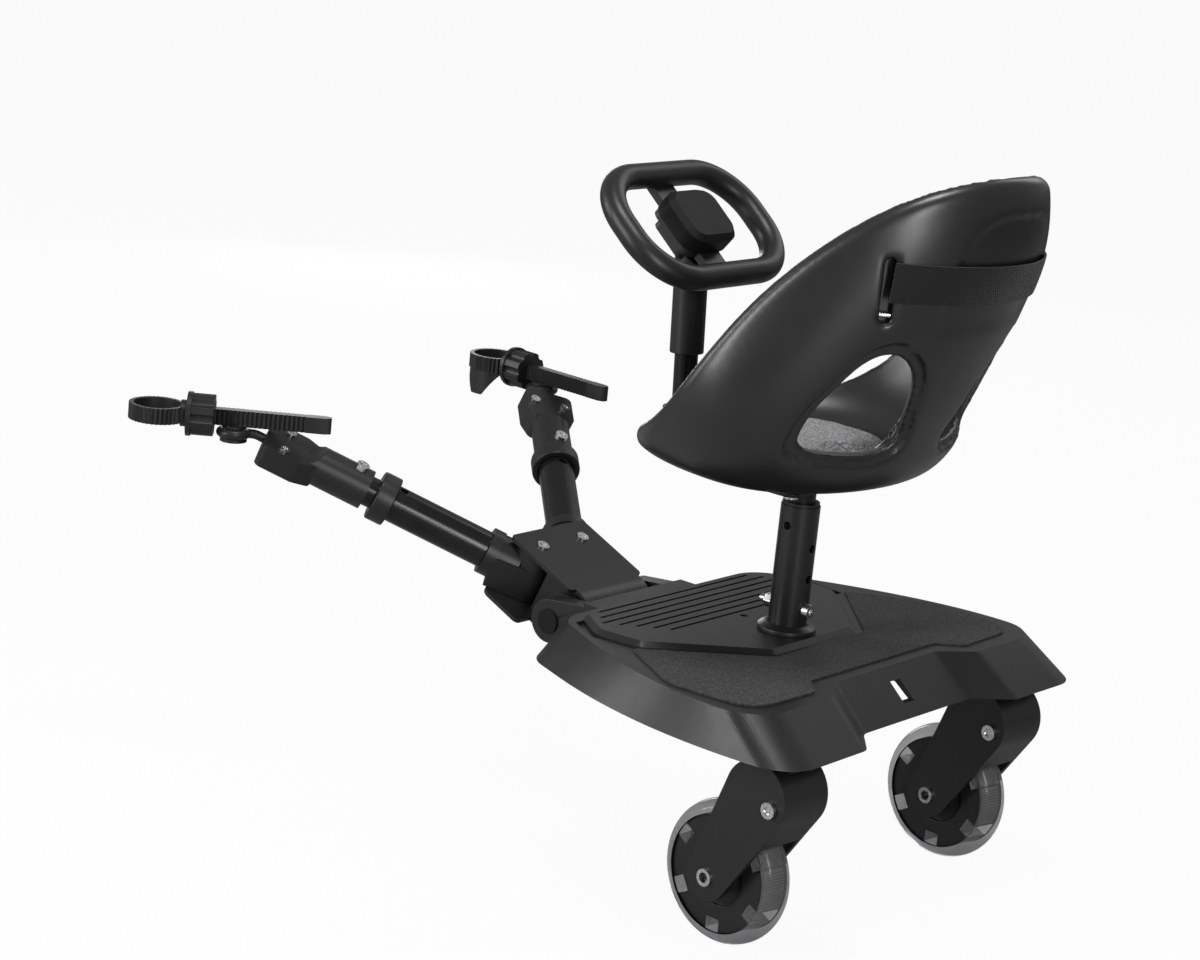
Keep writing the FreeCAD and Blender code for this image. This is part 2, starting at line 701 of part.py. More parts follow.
def make_back_belt():
    """Webbing round the back of the shell, its ends tucked through the slots."""
    near = SOFT_GAP
    far = SOFT_GAP + BELT_THICK
    band = seat_body(0, far).cut(seat_body(0, near))
    belt_z = SEAT_Z + BELT_UP
    behind = box(V(-200, -200, belt_z - BELT_W / 2), V(200, SLOT_Y, belt_z + BELT_W / 2))
    belt = band.common(behind)
    tuck = box(V(-SEAT_WALL - BELT_TUCK, -BELT_THICK / 2, -BELT_W / 2), V(far, BELT_THICK / 2, BELT_W / 2))
    return fused(belt, *[at_slot(tuck, side, belt_z) for side in SIDES.values()])


nodes["seat_plate"] = make_seat_plate()
nodes["seat_shell"] = make_seat_shell()
nodes["seat_pad"] = make_seat_pad()
nodes["seat_screws"] = make_seat_screws()
nodes["back_belt"] = make_back_belt()


# Steering, each piece in the column's or the wheel's own frame

column_frame = FreeCAD.Placement(column_foot, FreeCAD.Rotation(X, -COLUMN_LEAN))
wheel_middle = column_frame.multVec(Z * STEER_UP)
steer_frame = FreeCAD.Placement(wheel_middle, FreeCAD.Rotation(X, STEER_TILT))
hub_top = SPOKE_THICK / 2 - HUB_DROP
hub_bottom = hub_top - SPOKE_THICK
bracket_top = hub_bottom - FACE_GAP
bracket_bottom = bracket_top - HUB_BRACKET_THICK
ORIGIN = V(0, 0, 0)


def make_column_tube():
    tube = cylinder(ORIGIN, Z, COLUMN_R, SLEEVE_TO)
    flange = cylinder(column_foot - Z * COLUMN_SINK, Z, COLUMN_FLANGE_R, COLUMN_SINK + COLUMN_FLANGE)
    return fused(moved(tube, column_frame), flange)


def make_column_sleeve():
    start = Z * SLEEVE_FROM
    sleeve = cylinder(start, Z, SLEEVE_R, SLEEVE_TO - SLEEVE_FROM)
    return moved(sleeve.cut(cylinder(start, Z, COLUMN_R, SLEEVE_TO)), column_frame)


def make_hub_bracket():
    half = HUB_BRACKET_W / 2
    plate = slab(mirrored(((half, half, 6), (half, -half, 6))), bracket_bottom, bracket_top)
    neck = moved(cylinder(Z * SLEEVE_TO, Z, SLEEVE_R, STEER_UP - SLEEVE_TO), column_frame)
    under = moved(box(V(-60, -60, -90), V(60, 60, bracket_bottom + HUB_BRACKET_THICK / 2)), steer_frame)
    bracket = fused(moved(plate, steer_frame), neck.common(under))
    return bracket.cut(moved(cylinder(Z * bracket_bottom, Z, SPINDLE_R, HUB_BRACKET_THICK), steer_frame))


def make_steering_spindle():
    top = hub_top + FACE_GAP
    shank = cylinder(Z * bracket_bottom, Z, SPINDLE_R, top - bracket_bottom)
    head = cylinder(Z * top, Z, SPINDLE_HEAD_R, SPINDLE_HEAD_L)
    return moved(fused(shank, head), steer_frame)


def make_steering_ring():
    across = STEER_HALF_W - STEER_CORNER
    along = STEER_HALF_H - STEER_CORNER
    pieces = []
    for turn, sign_x, sign_y in ((0, 1, 1), (90, -1, 1), (180, -1, -1), (270, 1, -1)):
        corner = Part.makeTorus(STEER_CORNER, STEER_GRIP_R, ORIGIN, Z, -180, 180, 90)
        place = FreeCAD.Placement(V(sign_x * across, sign_y * along, 0), FreeCAD.Rotation(Z, turn))
        pieces.append(moved(corner, place))
    for sign in SIDES.values():
        pieces.append(cylinder(V(-across, sign * STEER_HALF_H, 0), X, STEER_GRIP_R, 2 * across))
        pieces.append(cylinder(V(sign * STEER_HALF_W, -along, 0), Y, STEER_GRIP_R, 2 * along))
    half = HUB_PLATE_W / 2
    pieces.append(box(V(-SPOKE_W / 2, -STEER_HALF_H, hub_bottom), V(SPOKE_W / 2, STEER_HALF_H, hub_top)))
    pieces.append(slab(mirrored(((half, half, 8), (half, -half, 8))), hub_bottom, hub_top))
    ring = fused(*pieces)
    bore = cylinder(Z * hub_bottom, Z, SPINDLE_R + RUN_FIT, SPOKE_THICK)
    return moved(ring.cut(bore), steer_frame)


def make_hub_cover():
    wide = HUB_COVER_W / 2
    tall = HUB_COVER_H / 2
    top = hub_top + HUB_COVER_THICK
    low = slab(mirrored(((wide, tall, 14), (wide, -tall, 14))), hub_top, top - HUB_COVER_ROUND)
    drawn_in = inset(mirrored(((wide, tall, 14), (wide, -tall, 14))), HUB_COVER_ROUND)
    crown = Part.makeLoft([rounded_wire(mirrored(((wide, tall, 14), (wide, -tall, 14))), top - HUB_COVER_ROUND),
                           rounded_wire(drawn_in, top)], True, True)
    room = cylinder(Z * hub_top, Z, SPINDLE_HEAD_R + 1, SPINDLE_HEAD_L + 2)
    return moved(fused(low, crown).cut(room), steer_frame)


nodes["column_tube"] = make_column_tube()
nodes["column_sleeve"] = make_column_sleeve()
nodes["hub_bracket"] = make_hub_bracket()
nodes["steering_spindle"] = make_steering_spindle()
nodes["steering_ring"] = make_steering_ring()
nodes["hub_cover"] = make_hub_cover()


# Front hinge, bracket pieces in the tilted bracket frame

hinge_axis = V(0, HINGE_Y, DECK_BOTTOM + HINGE_UP)
bracket_frame = FreeCAD.Placement(hinge_axis, FreeCAD.Rotation(X, BRACKET_TILT))
pivot_places = [V(side * PIVOT_X, PIVOT_S, 0) for side in SIDES.values()]


def make_hinge_base():
    pieces = []
    for side in SIDES.values():
        low = min(side * EAR_IN, side * EAR_OUT)
        high = max(side * EAR_IN, side * EAR_OUT)
        pieces.append(cylinder(hinge_axis + X * low, X, EAR_R, high - low))
        pieces.append(profile_prism([(y, DECK_BOTTOM + up) for y, up in EAR_ARM], low, high))
    cross_low = DECK_BOTTOM + CROSS_UP
    pieces.append(box(V(-EAR_OUT, CROSS_BACK, cross_low), V(EAR_OUT, CROSS_FRONT, cross_low + CROSS_H)))
    base = fused(*pieces).cut(deck_outer)
    return base.cut(cylinder(hinge_axis - X * EAR_OUT, X, HINGE_PIN_R, 2 * EAR_OUT))


def make_hinge_pin():
    pin = cylinder(hinge_axis - X * EAR_OUT, X, HINGE_PIN_R, 2 * EAR_OUT)
    caps = [cylinder(hinge_axis + X * side * EAR_OUT, X * side, HINGE_CAP_R, HINGE_CAP_L)
            for side in SIDES.values()]
    return fused(pin, *caps)


def make_hinge_bracket():
    inner = EAR_IN - FACE_GAP
    barrel = cylinder(V(-inner, 0, 0), X, BARREL_R, 2 * inner)
    wide = mirrored(((EAR_OUT, TRAY_FRONT, TRAY_CORNER), (EAR_OUT, TRAY_WIDE_FROM, 4)))
    tray = slab(wide, TRAY_BOTTOM, TRAY_BOTTOM + TRAY)
    tongue = box(V(-inner, 0, TRAY_BOTTOM), V(inner, PIVOT_S, TRAY_BOTTOM + TRAY))
    web = box(V(-WEB_HALF_W, 0, TRAY_BOTTOM), V(WEB_HALF_W, WEB_FRONT, COVER_TOP - COVER))
    bracket = fused(barrel, tray, tongue, web)
    bracket = bracket.cut(cylinder(V(-inner, 0, 0), X, HINGE_PIN_R + RUN_FIT, 2 * inner))
    for place in pivot_places:
        bracket = bracket.cut(cylinder(place + Z * TRAY_BOTTOM, Z, PIVOT_R, TRAY))
    return moved(bracket, bracket_frame)


def make_cover_plate():
    low = COVER_TOP - COVER
    half = ((COVER_HALF_W, COVER_FRONT, COVER_CORNER), (COVER_HALF_W, COVER_BACK, COVER_CORNER))
    plate = slab(mirrored(half), low, COVER_TOP)
    bridge = box(V(-SHIELD_HALF_W, 0, low), V(SHIELD_HALF_W, COVER_BACK + COVER_CORNER, COVER_TOP))
    outer = Part.makeCylinder(COVER_TOP, 2 * SHIELD_HALF_W, V(-SHIELD_HALF_W, 0, 0), X, SHIELD_SWEEP)
    inner = Part.makeCylinder(low, 2 * SHIELD_HALF_W, V(-SHIELD_HALF_W, 0, 0), X, SHIELD_SWEEP)
    start = outer.CenterOfMass
    start_angle = math.degrees(math.atan2(start.z, start.y)) - SHIELD_SWEEP / 2
    shield = moved(outer.cut(inner), turned(X, 90 - start_angle))
    cover = fused(plate, bridge, shield)
    for place in pivot_places:
        cover = cover.cut(cylinder(place + Z * low, Z, PIVOT_R, COVER))
    return moved(cover, bracket_frame)


def make_pivot_screws():
    screws = []
    for place in pivot_places:
        low = place + Z * (TRAY_BOTTOM - PIVOT_NUT_L)
        shank = cylinder(low, Z, PIVOT_R, COVER_TOP - TRAY_BOTTOM + PIVOT_NUT_L)
        head = cylinder(place + Z * COVER_TOP, Z, PIVOT_HEAD_R, PIVOT_HEAD_L)
        screws.append(fused(shank, head))
    return moved(Part.makeCompound(screws), bracket_frame)


def make_pivot_nuts():
    nuts = []
    for place in pivot_places:
        low = place + Z * (TRAY_BOTTOM - PIVOT_NUT_L)
        nuts.append(hexagon(low, Z, PIVOT_NUT_R, PIVOT_NUT_L).cut(cylinder(low, Z, PIVOT_R, PIVOT_NUT_L)))
    return moved(Part.makeCompound(nuts), bracket_frame)


nodes["hinge_base"] = make_hinge_base()
nodes["hinge_pin"] = make_hinge_pin()
nodes["hinge_bracket"] = make_hinge_bracket()
nodes["cover_plate"] = make_cover_plate()
nodes["pivot_screws"] = make_pivot_screws()
nodes["pivot_nuts"] = make_pivot_nuts()


# Arms, built along Y in their own frames

def pivot_frame(side):
    place = FreeCAD.Placement(V(side * PIVOT_X, PIVOT_S, 0), FreeCAD.Rotation(Z, -side * SPREAD))
    return bracket_frame.multiply(place)


def arm_frame(side):
    lift = FreeCAD.Placement(V(0, 0, TUBE_H), FreeCAD.Rotation(X, ARM_LIFT))
    return pivot_frame(side).multiply(lift)


def make_arm_socket(side):
    low = TRAY_BOTTOM + TRAY + FACE_GAP
    high = COVER_TOP - COVER - FACE_GAP
    boss = cylinder(Z * low, Z, SOCKET_R, high - low)
    block = box(V(-SOCKET_R, 0, low), V(SOCKET_R, SOCKET_BLOCK, SOCKET_BLOCK_TOP))
    boss = moved(fused(boss, block), pivot_frame(side))
    sleeve = cylinder(Y * TUBE_FROM, Y, SOCKET_R, SOCKET_TO - TUBE_FROM)
    ring = cylinder(Y * (SOCKET_TO - SOCKET_RING), Y, SOCKET_RING_R, SOCKET_RING)
    socket = fused(boss, moved(fused(sleeve, ring), arm_frame(side)))
    socket = socket.cut(moved(cylinder(Y * TUBE_FROM, Y, TUBE_R, SOCKET_TO), arm_frame(side)))
    return socket.cut(moved(cylinder(Z * low * 2, Z, PIVOT_R + RUN_FIT, 4 * high), pivot_frame(side)))


def make_outer_tube(side):
    tube = cylinder(Y * TUBE_FROM, Y, TUBE_R, TUBE_TO - TUBE_FROM)
    tube = tube.cut(cylinder(Y * TUBE_FROM, Y, TUBE_BORE_R, TUBE_TO - TUBE_FROM))
    tube = tube.cut(cylinder(Y * BUTTON_AT, Z, BUTTON_R, 2 * TUBE_R))
    return moved(tube, arm_frame(side))


def make_tube_collar(side):
    start = Y * (TUBE_TO - COLLAR_W)
    collar = cylinder(start, Y, COLLAR_R, COLLAR_W).cut(cylinder(start, Y, TUBE_R, COLLAR_W))
    return moved(collar, arm_frame(side))


def head_start(name):
    return TUBE_TO + SLIDE_OUT[name]


def head_end(name):
    return head_start(name) + HEAD_L


SLIDE_R = TUBE_BORE_R - RUN_FIT
lug_top = HEAD_THICK / 2 - HEAD_DROP


def make_inner_tube(name, side):
    start = Y * (SLIDE_FROM + SLIDE_OUT[name])
    length = head_start(name) + HEAD_GRIP - start.y
    tube = cylinder(start, Y, SLIDE_R, length).cut(cylinder(start, Y, SLIDE_BORE_R, length))
    return moved(tube, arm_frame(side))


def make_clamp_head(name, side):
    start = head_start(name)
    end = head_end(name)
    body = cylinder(Y * start, Y, HEAD_R, HEAD_BODY_L + HEAD_SCOOP_R)
    scoop_place = V(-HEAD_WIDE, start + HEAD_BODY_L + HEAD_SCOOP_R, lug_top + HEAD_SCOOP_R)
    body = body.cut(cylinder(scoop_place, X, HEAD_SCOOP_R, 2 * HEAD_WIDE))
    wide = HEAD_WIDE / 2
    lug_corners = ((wide, end, HEAD_ROUND), (wide, end - HEAD_WIDE_L, HEAD_ROUND),
                   (HEAD_WAIST / 2, end - HEAD_WIDE_L - HEAD_SHOULDER, HEAD_ROUND))
    lug = slab(mirrored(lug_corners), lug_top - HEAD_THICK, lug_top)
    head = fused(body, lug)
    head = head.cut(cylinder(Y * start, Y, SLIDE_R, HEAD_GRIP))
    head = head.cut(cylinder(Y * (end - ROD_IN), Y, ROD_R, ROD_IN))
    return moved(head, arm_frame(side))


def make_head_fasteners(name, side):
    bolt_y = head_start(name) + HEAD_BOLT_AT
    pieces = [cylinder(V(0, bolt_y, HEAD_R - 1), Z, HEAD_BOLT_CAP_R, HEAD_BOLT_CAP_L)]
    pieces[0] = pieces[0].cut(cylinder(Y * head_start(name), Y, HEAD_R, HEAD_GRIP))
    for sign in SIDES.values():
        place = V(sign * HEAD_SCREW_X, head_end(name) - HEAD_SCREW_BACK, lug_top)
        pieces.append(cylinder(place, Z, HEAD_SCREW_R, HEAD_SCREW_L))
    return moved(Part.makeCompound(pieces), arm_frame(side))


def heading(side):
    """Level direction of an arm, seen from above."""
    along = arm_frame(side).Rotation.multVec(Y)
    flat = V(along.x, along.y, 0)
    flat.normalize()
    return flat


EYE_R = BOSS_R + RUN_FIT + ROD_R


def rod_points(name, side):
    """Ends of the rod's sloping leg, its bend and its level leg, and the eye's middle."""
    frame = arm_frame(side)
    along = frame.Rotation.multVec(Y)
    level = heading(side)
    leg_start = frame.multVec(Y * (head_end(name) - ROD_IN))
    leg_end = frame.multVec(Y * (head_end(name) + ROD_OUT))
    rise = along.getAngle(level)
    reach = ROD_BEND_R * math.tan(rise / 2)
    corner = leg_end + along * reach
    bend_end = corner + level * reach
    middle = level - along
    middle.normalize()
    bend_middle = corner + middle * (ROD_BEND_R / math.cos(rise / 2) - ROD_BEND_R)
    eye = bend_end + level * (EYE_R + ROD_R)
    return leg_start, leg_end, bend_middle, bend_end, eye


def make_rod_eye(name, side):
    leg_start, leg_end, bend_middle, bend_end, eye = rod_points(name, side)
    path = Part.Wire([Part.LineSegment(leg_start, leg_end).toShape(),
                      Part.Arc(leg_end, bend_middle, bend_end).toShape(),
                      Part.LineSegment(bend_end, eye - heading(side) * EYE_R).toShape()])
    section = Part.Wire(Part.makeCircle(ROD_R, leg_start, leg_end - leg_start))
    rod = path.makePipeShell([section], True, False)
    ring = Part.makeTorus(EYE_R, ROD_R, eye, Z)
    return fused(rod, ring)


for name, side in SIDES.items():
    nodes[name + "_arm_socket"] = make_arm_socket(side)
    nodes[name + "_outer_tube"] = make_outer_tube(side)
    nodes[name + "_tube_collar"] = make_tube_collar(side)
    nodes[name + "_inner_tube"] = make_inner_tube(name, side)
    nodes[name + "_clamp_head"] = make_clamp_head(name, side)
    nodes[name + "_head_fasteners"] = make_head_fasteners(name, side)
    nodes[name + "_rod_eye"] = make_rod_eye(name, side)


# Straps, built with the eye at the origin and the loop ahead along Y

def strap_frame(name, side):
    level = heading(side)
    turn = math.degrees(math.atan2(-level.x, level.y)) + STRAP_TURN[name]
    return FreeCAD.Placement(rod_points(name, side)[-1], FreeCAD.Rotation(Z, turn))


def make_strap(name, side):
    low = STRAP_UP - STRAP_H / 2
    half = STRAP_THICK / 2
    count = int((NUT_FROM + TAIL_L - TAIL_TIP) / RIB_PITCH)
    edge = [(half, NUT_FROM)]
    for index in range(count):
        y = NUT_FROM - index * RIB_PITCH
        edge += [(half - RIB_RISE, y - RIB_PITCH / 2), (half, y - RIB_PITCH)]
    edge += [(half, -TAIL_L + half), (half / 2, -TAIL_L)]
    outline = edge + [(-x, y) for x, y in reversed(edge)]
    wire = Part.makePolygon([V(x, y, low) for x, y in outline + outline[:1]])
    tail = Part.Face(wire).extrude(Z * STRAP_H)
    boss = cylinder(Z * -(ROD_R + FACE_GAP), Z, BOSS_R, low + ROD_R + 2 * FACE_GAP)
    cap = cylinder(Z * -(ROD_R + FACE_GAP + BOSS_CAP), Z, BOSS_CAP_R, BOSS_CAP)
    shoulder = cylinder(Z * (ROD_R + FACE_GAP), Z, BOSS_SHOULDER_R, low - ROD_R)
    neck_from = NUT_FROM - FACE_GAP
    neck = cylinder(V(0, neck_from, STRAP_UP), Y, NECK_R, LOOP_AT - LOOP_BORE_R - neck_from)
    loop_r = LOOP_BORE_R + LOOP_WALL
    teeth = int(2 * math.pi * loop_r / RIB_PITCH)
    rim = []
    for index in range(2 * teeth + 1):
        angle = math.pi * index / teeth
        radius = loop_r - RIB_RISE * (index % 2)
        rim.append(V(radius * math.sin(angle), LOOP_AT + radius * math.cos(angle), low))
    loop = Part.Face(Part.makePolygon(rim)).extrude(Z * STRAP_H)
    strap = fused(tail, boss, cap, shoulder, neck, loop)
    strap = strap.cut(cylinder(V(0, LOOP_AT, 0), Z, LOOP_BORE_R, 3 * STRAP_H))
    if name == "right":
        sleeve = cylinder(V(0, LOOP_AT, low - TAB_L), Z, loop_r - RIB_RISE, TAB_L + 1)
        relief_r = LOOP_BORE_R + TAB_RELIEF
        sleeve = sleeve.cut(cylinder(V(0, LOOP_AT, low - TAB_L), Z, relief_r, TAB_L + 1))
        funnel = [(LOOP_AT - TAB_TOP_W / 2, low + 1), (LOOP_AT + TAB_TOP_W / 2, low + 1),
                  (LOOP_AT + TAB_W / 2, low - TAB_L), (LOOP_AT - TAB_W / 2, low - TAB_L)]
        tab = sleeve.common(profile_prism(funnel, -2 * loop_r, 0))
        strap = fused(strap, tab)
    return moved(strap, strap_frame(name, side))


def make_strap_nut(name, side):
    start = V(0, NUT_FROM, STRAP_UP)
    nut = cylinder(start, Y, NUT_R, NUT_L)
    for index in range(NUT_FLUTES):
        angle = 2 * math.pi * index / NUT_FLUTES
        out = V(math.cos(angle), 0, math.sin(angle)) * (NUT_R + NUT_FLUTE_R / 2)
        nut = nut.cut(cylinder(start + out, Y, NUT_FLUTE_R, NUT_L))
    flange = cylinder(V(0, NUT_FROM + NUT_L - NUT_FLANGE, STRAP_UP), Y, NUT_FLANGE_R, NUT_FLANGE)
    nut = fused(nut, flange).cut(cylinder(start, Y, NECK_R + RUN_FIT, NUT_L))
    return moved(nut, strap_frame(name, side))


for name, side in SIDES.items():
    nodes[name + "_strap"] = make_strap(name, side)
    nodes[name + "_strap_nut"] = make_strap_nut(name, side)


# Casters, built with the swivel axis up through the origin and the wheel ahead along Y

axle_place = V(0, TRAIL, WHEEL_D / 2)
rocker_place = axle_place + V(0, -ROCKER_BACK, WHEEL_D / 2 + ROCKER_OVER)
fork_top = axle_place + V(0, -FORK_TOP_BACK, WHEEL_D / 2 + FORK_TOP_OVER)
fork_inner = FORK_W / 2 - FORK_PLATE
spring_seat = WHEEL_D + SPRING_OVER
spring_low = spring_seat + SPRING_SEAT
spring_high = spring_low + SPRING_L


def caster_frame(side):
    return FreeCAD.Placement(V(side * SWIVEL_SPACING / 2, SWIVEL_Y, 0), FreeCAD.Rotation(Z, CASTER_YAW))


def hull(first, first_r, second, second_r, half_width):
    """Plate along X round two circles and the straight sides that join them."""
    across = second - first
    length = across.Length
    base = math.atan2(across.z, across.y)
    lean = math.acos((first_r - second_r) / length)
    corners = []
    for turn in (base + lean, base - lean):
        out = V(0, math.cos(turn), math.sin(turn))
        corners.append((first + out * first_r, second + out * second_r))
    points = [corners[0][0], corners[0][1], corners[1][1], corners[1][0]]
    middle = profile_prism([(point.y, point.z) for point in points], -half_width, half_width)
    rounds = [cylinder(place - X * half_width, X, radius, 2 * half_width)
              for place, radius in ((first, first_r), (second, second_r))]
    return fused(middle, *rounds)


def make_caster_fork():
    fork = hull(fork_top, FORK_TOP_R, axle_place, FORK_AXLE_R, FORK_W / 2)
    fork = fork.cut(hull(fork_top, FORK_TOP_R - FORK_WEB, axle_place, FORK_AXLE_R - FORK_WEB, fork_inner))
    wheel_room = cylinder(axle_place - X * fork_inner, X, WHEEL_D / 2 + TYRE_GAP, 2 * fork_inner)
    room = HEAD_NECK_R + NECK_ROOM
    ahead = HEAD_NECK_R + NECK_SWING
    neck_room = box(V(-room, -room, fork_top.z), V(room, ahead, fork_top.z + 2 * FORK_TOP_R))
    front = box(V(-fork_inner, ahead, spring_seat), V(fork_inner, 3 * ahead, fork_top.z + 2 * FORK_TOP_R))
    fork = fork.cut(wheel_room).cut(neck_room).cut(front)
    seat = box(V(-fork_inner, SPRING_FRONT - 8, spring_seat), V(fork_inner, SPRING_FRONT + 8, spring_low))
    fork = fused(fork, seat)
    fork = fork.cut(cylinder(axle_place - X * FORK_W, X, AXLE_R, 2 * FORK_W))
    return fork.cut(cylinder(rocker_place - X * FORK_W, X, ROCKER_BOLT_R + RUN_FIT, 2 * FORK_W))


def make_caster_head():
    half = fork_inner - FACE_GAP
    barrel = cylinder(rocker_place - X * half, X, HEAD_BARREL_R, 2 * half)
    neck = cylinder(Z * rocker_place.z, Z, HEAD_NECK_R, FLANGE_TOP - rocker_place.z)
    flange = cylinder(Z * (FLANGE_TOP - HEAD_FLANGE), Z, HEAD_FLANGE_R, HEAD_FLANGE)
    stem = cylinder(Z * FLANGE_TOP, Z, STEM_R, STEM_L)
    arm = box(V(-SPRING_ARM_W / 2, 0, spring_high),
              V(SPRING_ARM_W / 2, SPRING_FRONT + SPRING_R + 2, spring_high + SPRING_ARM))
    head = fused(barrel, neck, flange, stem, arm)
    return head.cut(cylinder(rocker_place - X * FORK_W, X, ROCKER_BOLT_R, 2 * FORK_W))


def make_pivot_bolt():
    half = FORK_W / 2 + FACE_GAP
    shank = cylinder(rocker_place - X * half, X, ROCKER_BOLT_R, 2 * half)
    heads = [cylinder(rocker_place + X * side * half, X * side, ROCKER_HEAD_R, ROCKER_HEAD_L)
             for side in SIDES.values()]
    return fused(shank, *heads)


def make_axle():
    half = FORK_W / 2
    shank = cylinder(axle_place - X * half, X, AXLE_R, 2 * half)
    pieces = []
    for side in SIDES.values():
        shoulder = axle_place + X * side * (WHEEL_W / 2 + FACE_GAP)
        pieces.append(cylinder(shoulder, X * side, AXLE_SHOULDER_R, fork_inner - WHEEL_W / 2 - FACE_GAP))
        pieces.append(cylinder(axle_place + X * side * half, X * side, AXLE_HEAD_R, AXLE_HEAD_L))
    axle = fused(shank, *pieces)
    for side in SIDES.values():
        end = axle_place + X * side * (half + AXLE_HEAD_L)
        axle = axle.cut(cylinder(end, X * -side, AXLE_BORE_R, AXLE_BORE_DEPTH))
    return axle


def wheel_keys():
    keys = []
    for index in range(KEY_COUNT):
        key = box(V(-CORE_W / 2, -KEY_W / 2, CORE_R - KEY_DEPTH), V(CORE_W / 2, KEY_W / 2, CORE_R + 1))
        spin = FreeCAD.Placement(axle_place, FreeCAD.Rotation(X, 360 / KEY_COUNT * index))
        keys.append(moved(key, spin))
    return keys


def make_wheel_core():
    core = cylinder(axle_place - X * CORE_W / 2, X, CORE_R, CORE_W)
    for side in SIDES.values():
        face = axle_place + X * side * CORE_W / 2
        recess = cylinder(face, X * -side, CORE_RECESS_R, CORE_RECESS_DEPTH)
        core = core.cut(recess)
    hub = cylinder(axle_place - X * WHEEL_W / 2, X, HUB_R, WHEEL_W)
    core = fused(core, hub)
    core = core.cut(cylinder(axle_place - X * WHEEL_W, X, AXLE_SHOULDER_R, 2 * WHEEL_W))
    for side in SIDES.values():
        core = core.cut(cylinder(axle_place + X * side * WHEEL_W / 2, X * -side, BEARING_R, BEARING_W))
    for key in wheel_keys():
        core = core.cut(key)
    return core


def make_tyre():
    tyre = cylinder(axle_place - X * WHEEL_W / 2, X, WHEEL_D / 2, WHEEL_W)
    rims = [edge for edge in tyre.Edges if len(edge.Vertexes) == 1]
    tyre = tyre.makeFillet(TREAD_EDGE, rims)
    tyre = tyre.cut(cylinder(axle_place - X * WHEEL_W, X, CORE_R, 2 * WHEEL_W))
    return fused(tyre, *wheel_keys())


def make_wheel_bearings():
    rings = []
    for side in SIDES.values():
        start = axle_place + X * side * WHEEL_W / 2
        ring = cylinder(start, X * -side, BEARING_R, BEARING_W)
        rings.append(ring.cut(cylinder(start, X * -side, AXLE_R + RUN_FIT, BEARING_W)))
    return Part.makeCompound(rings)


def make_suspension_spring():
    """Open coil between the fork's seat and the head's arm, on quarter-turn arcs."""
    low = spring_low + SPRING_WIRE_R
    climb = (SPRING_L - 2 * SPRING_WIRE_R) / SPRING_TURNS

    def point(turns):
        angle = 2 * math.pi * turns
        return V(SPRING_R * math.cos(angle), SPRING_FRONT + SPRING_R * math.sin(angle), low + climb * turns)

    arcs = []
    for step in range(4 * SPRING_TURNS):
        start = step / 4
        arcs.append(Part.Arc(point(start), point(start + 0.125), point(start + 0.25)).toShape())
    path = Part.Wire(arcs)
    section = Part.Wire(Part.makeCircle(SPRING_WIRE_R, point(0), V(0, 1, 0)))
    print("spring gap between turns", round(climb - 2 * SPRING_WIRE_R, 2))
    return path.makePipeShell([section], True, False)


caster_nodes = {
    "caster_head": make_caster_head(),
    "pivot_bolt": make_pivot_bolt(),
    "suspension_spring": make_suspension_spring(),
    "caster_fork": make_caster_fork(),
    "axle": make_axle(),
    "wheel_core": make_wheel_core(),
    "tyre": make_tyre(),
    "wheel_bearings": make_wheel_bearings(),
}
for name, side in SIDES.items():
    for piece, shape in caster_nodes.items():
        nodes[name + "_" + piece] = moved(shape, caster_frame(side))


# Export with the origin under the middle of the whole box

overall = Part.makeCompound(list(nodes.values())).optimalBoundingBox(False, False)
SHIFT = V(-overall.Center.x, -overall.Center.y, -overall.ZMin)
print("shift", round(SHIFT.x, 3), round(SHIFT.y, 3), round(SHIFT.z, 3))
print("size", round(overall.XLength, 1), round(overall.YLength, 1), round(overall.ZLength, 1))
for name, shape in nodes.items():
    moved(shape, shifted(SHIFT)).exportStep("parts/" + name + ".step")
    print(name, shape.ShapeType, len(shape.Solids), round(shape.Volume), shape.isValid())
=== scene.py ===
"""Ride-on stroller board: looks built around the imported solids, in metres."""

import json
import math

import bpy
from mathutils import Matrix, Vector

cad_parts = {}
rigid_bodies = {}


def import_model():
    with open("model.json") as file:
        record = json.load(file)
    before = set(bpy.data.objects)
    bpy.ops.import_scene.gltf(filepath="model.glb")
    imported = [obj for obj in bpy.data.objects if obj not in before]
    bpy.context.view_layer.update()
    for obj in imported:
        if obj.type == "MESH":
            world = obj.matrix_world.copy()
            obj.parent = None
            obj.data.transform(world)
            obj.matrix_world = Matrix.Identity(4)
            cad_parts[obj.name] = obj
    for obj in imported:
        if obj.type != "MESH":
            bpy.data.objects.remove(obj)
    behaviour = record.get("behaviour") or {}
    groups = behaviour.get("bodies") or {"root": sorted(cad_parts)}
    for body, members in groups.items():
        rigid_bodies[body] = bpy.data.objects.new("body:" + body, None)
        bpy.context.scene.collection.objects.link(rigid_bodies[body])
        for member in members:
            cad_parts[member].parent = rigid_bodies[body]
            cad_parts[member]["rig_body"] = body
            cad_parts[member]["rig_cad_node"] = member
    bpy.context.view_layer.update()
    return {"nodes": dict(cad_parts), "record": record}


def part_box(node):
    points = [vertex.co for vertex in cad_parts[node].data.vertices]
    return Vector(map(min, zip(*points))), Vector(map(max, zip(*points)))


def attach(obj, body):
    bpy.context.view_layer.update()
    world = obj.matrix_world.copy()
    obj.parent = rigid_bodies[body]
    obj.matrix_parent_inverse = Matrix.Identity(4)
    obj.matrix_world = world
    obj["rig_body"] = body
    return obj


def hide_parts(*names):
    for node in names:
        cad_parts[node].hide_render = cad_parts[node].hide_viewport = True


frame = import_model()
nodes = frame["nodes"]
record = frame["record"]
node_slot = {entry["node"]: entry["material_slot"] for entry in record["subparts"]}

# The board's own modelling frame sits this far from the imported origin
SHIFT = Vector((0.019127, -0.220444, 0.0))

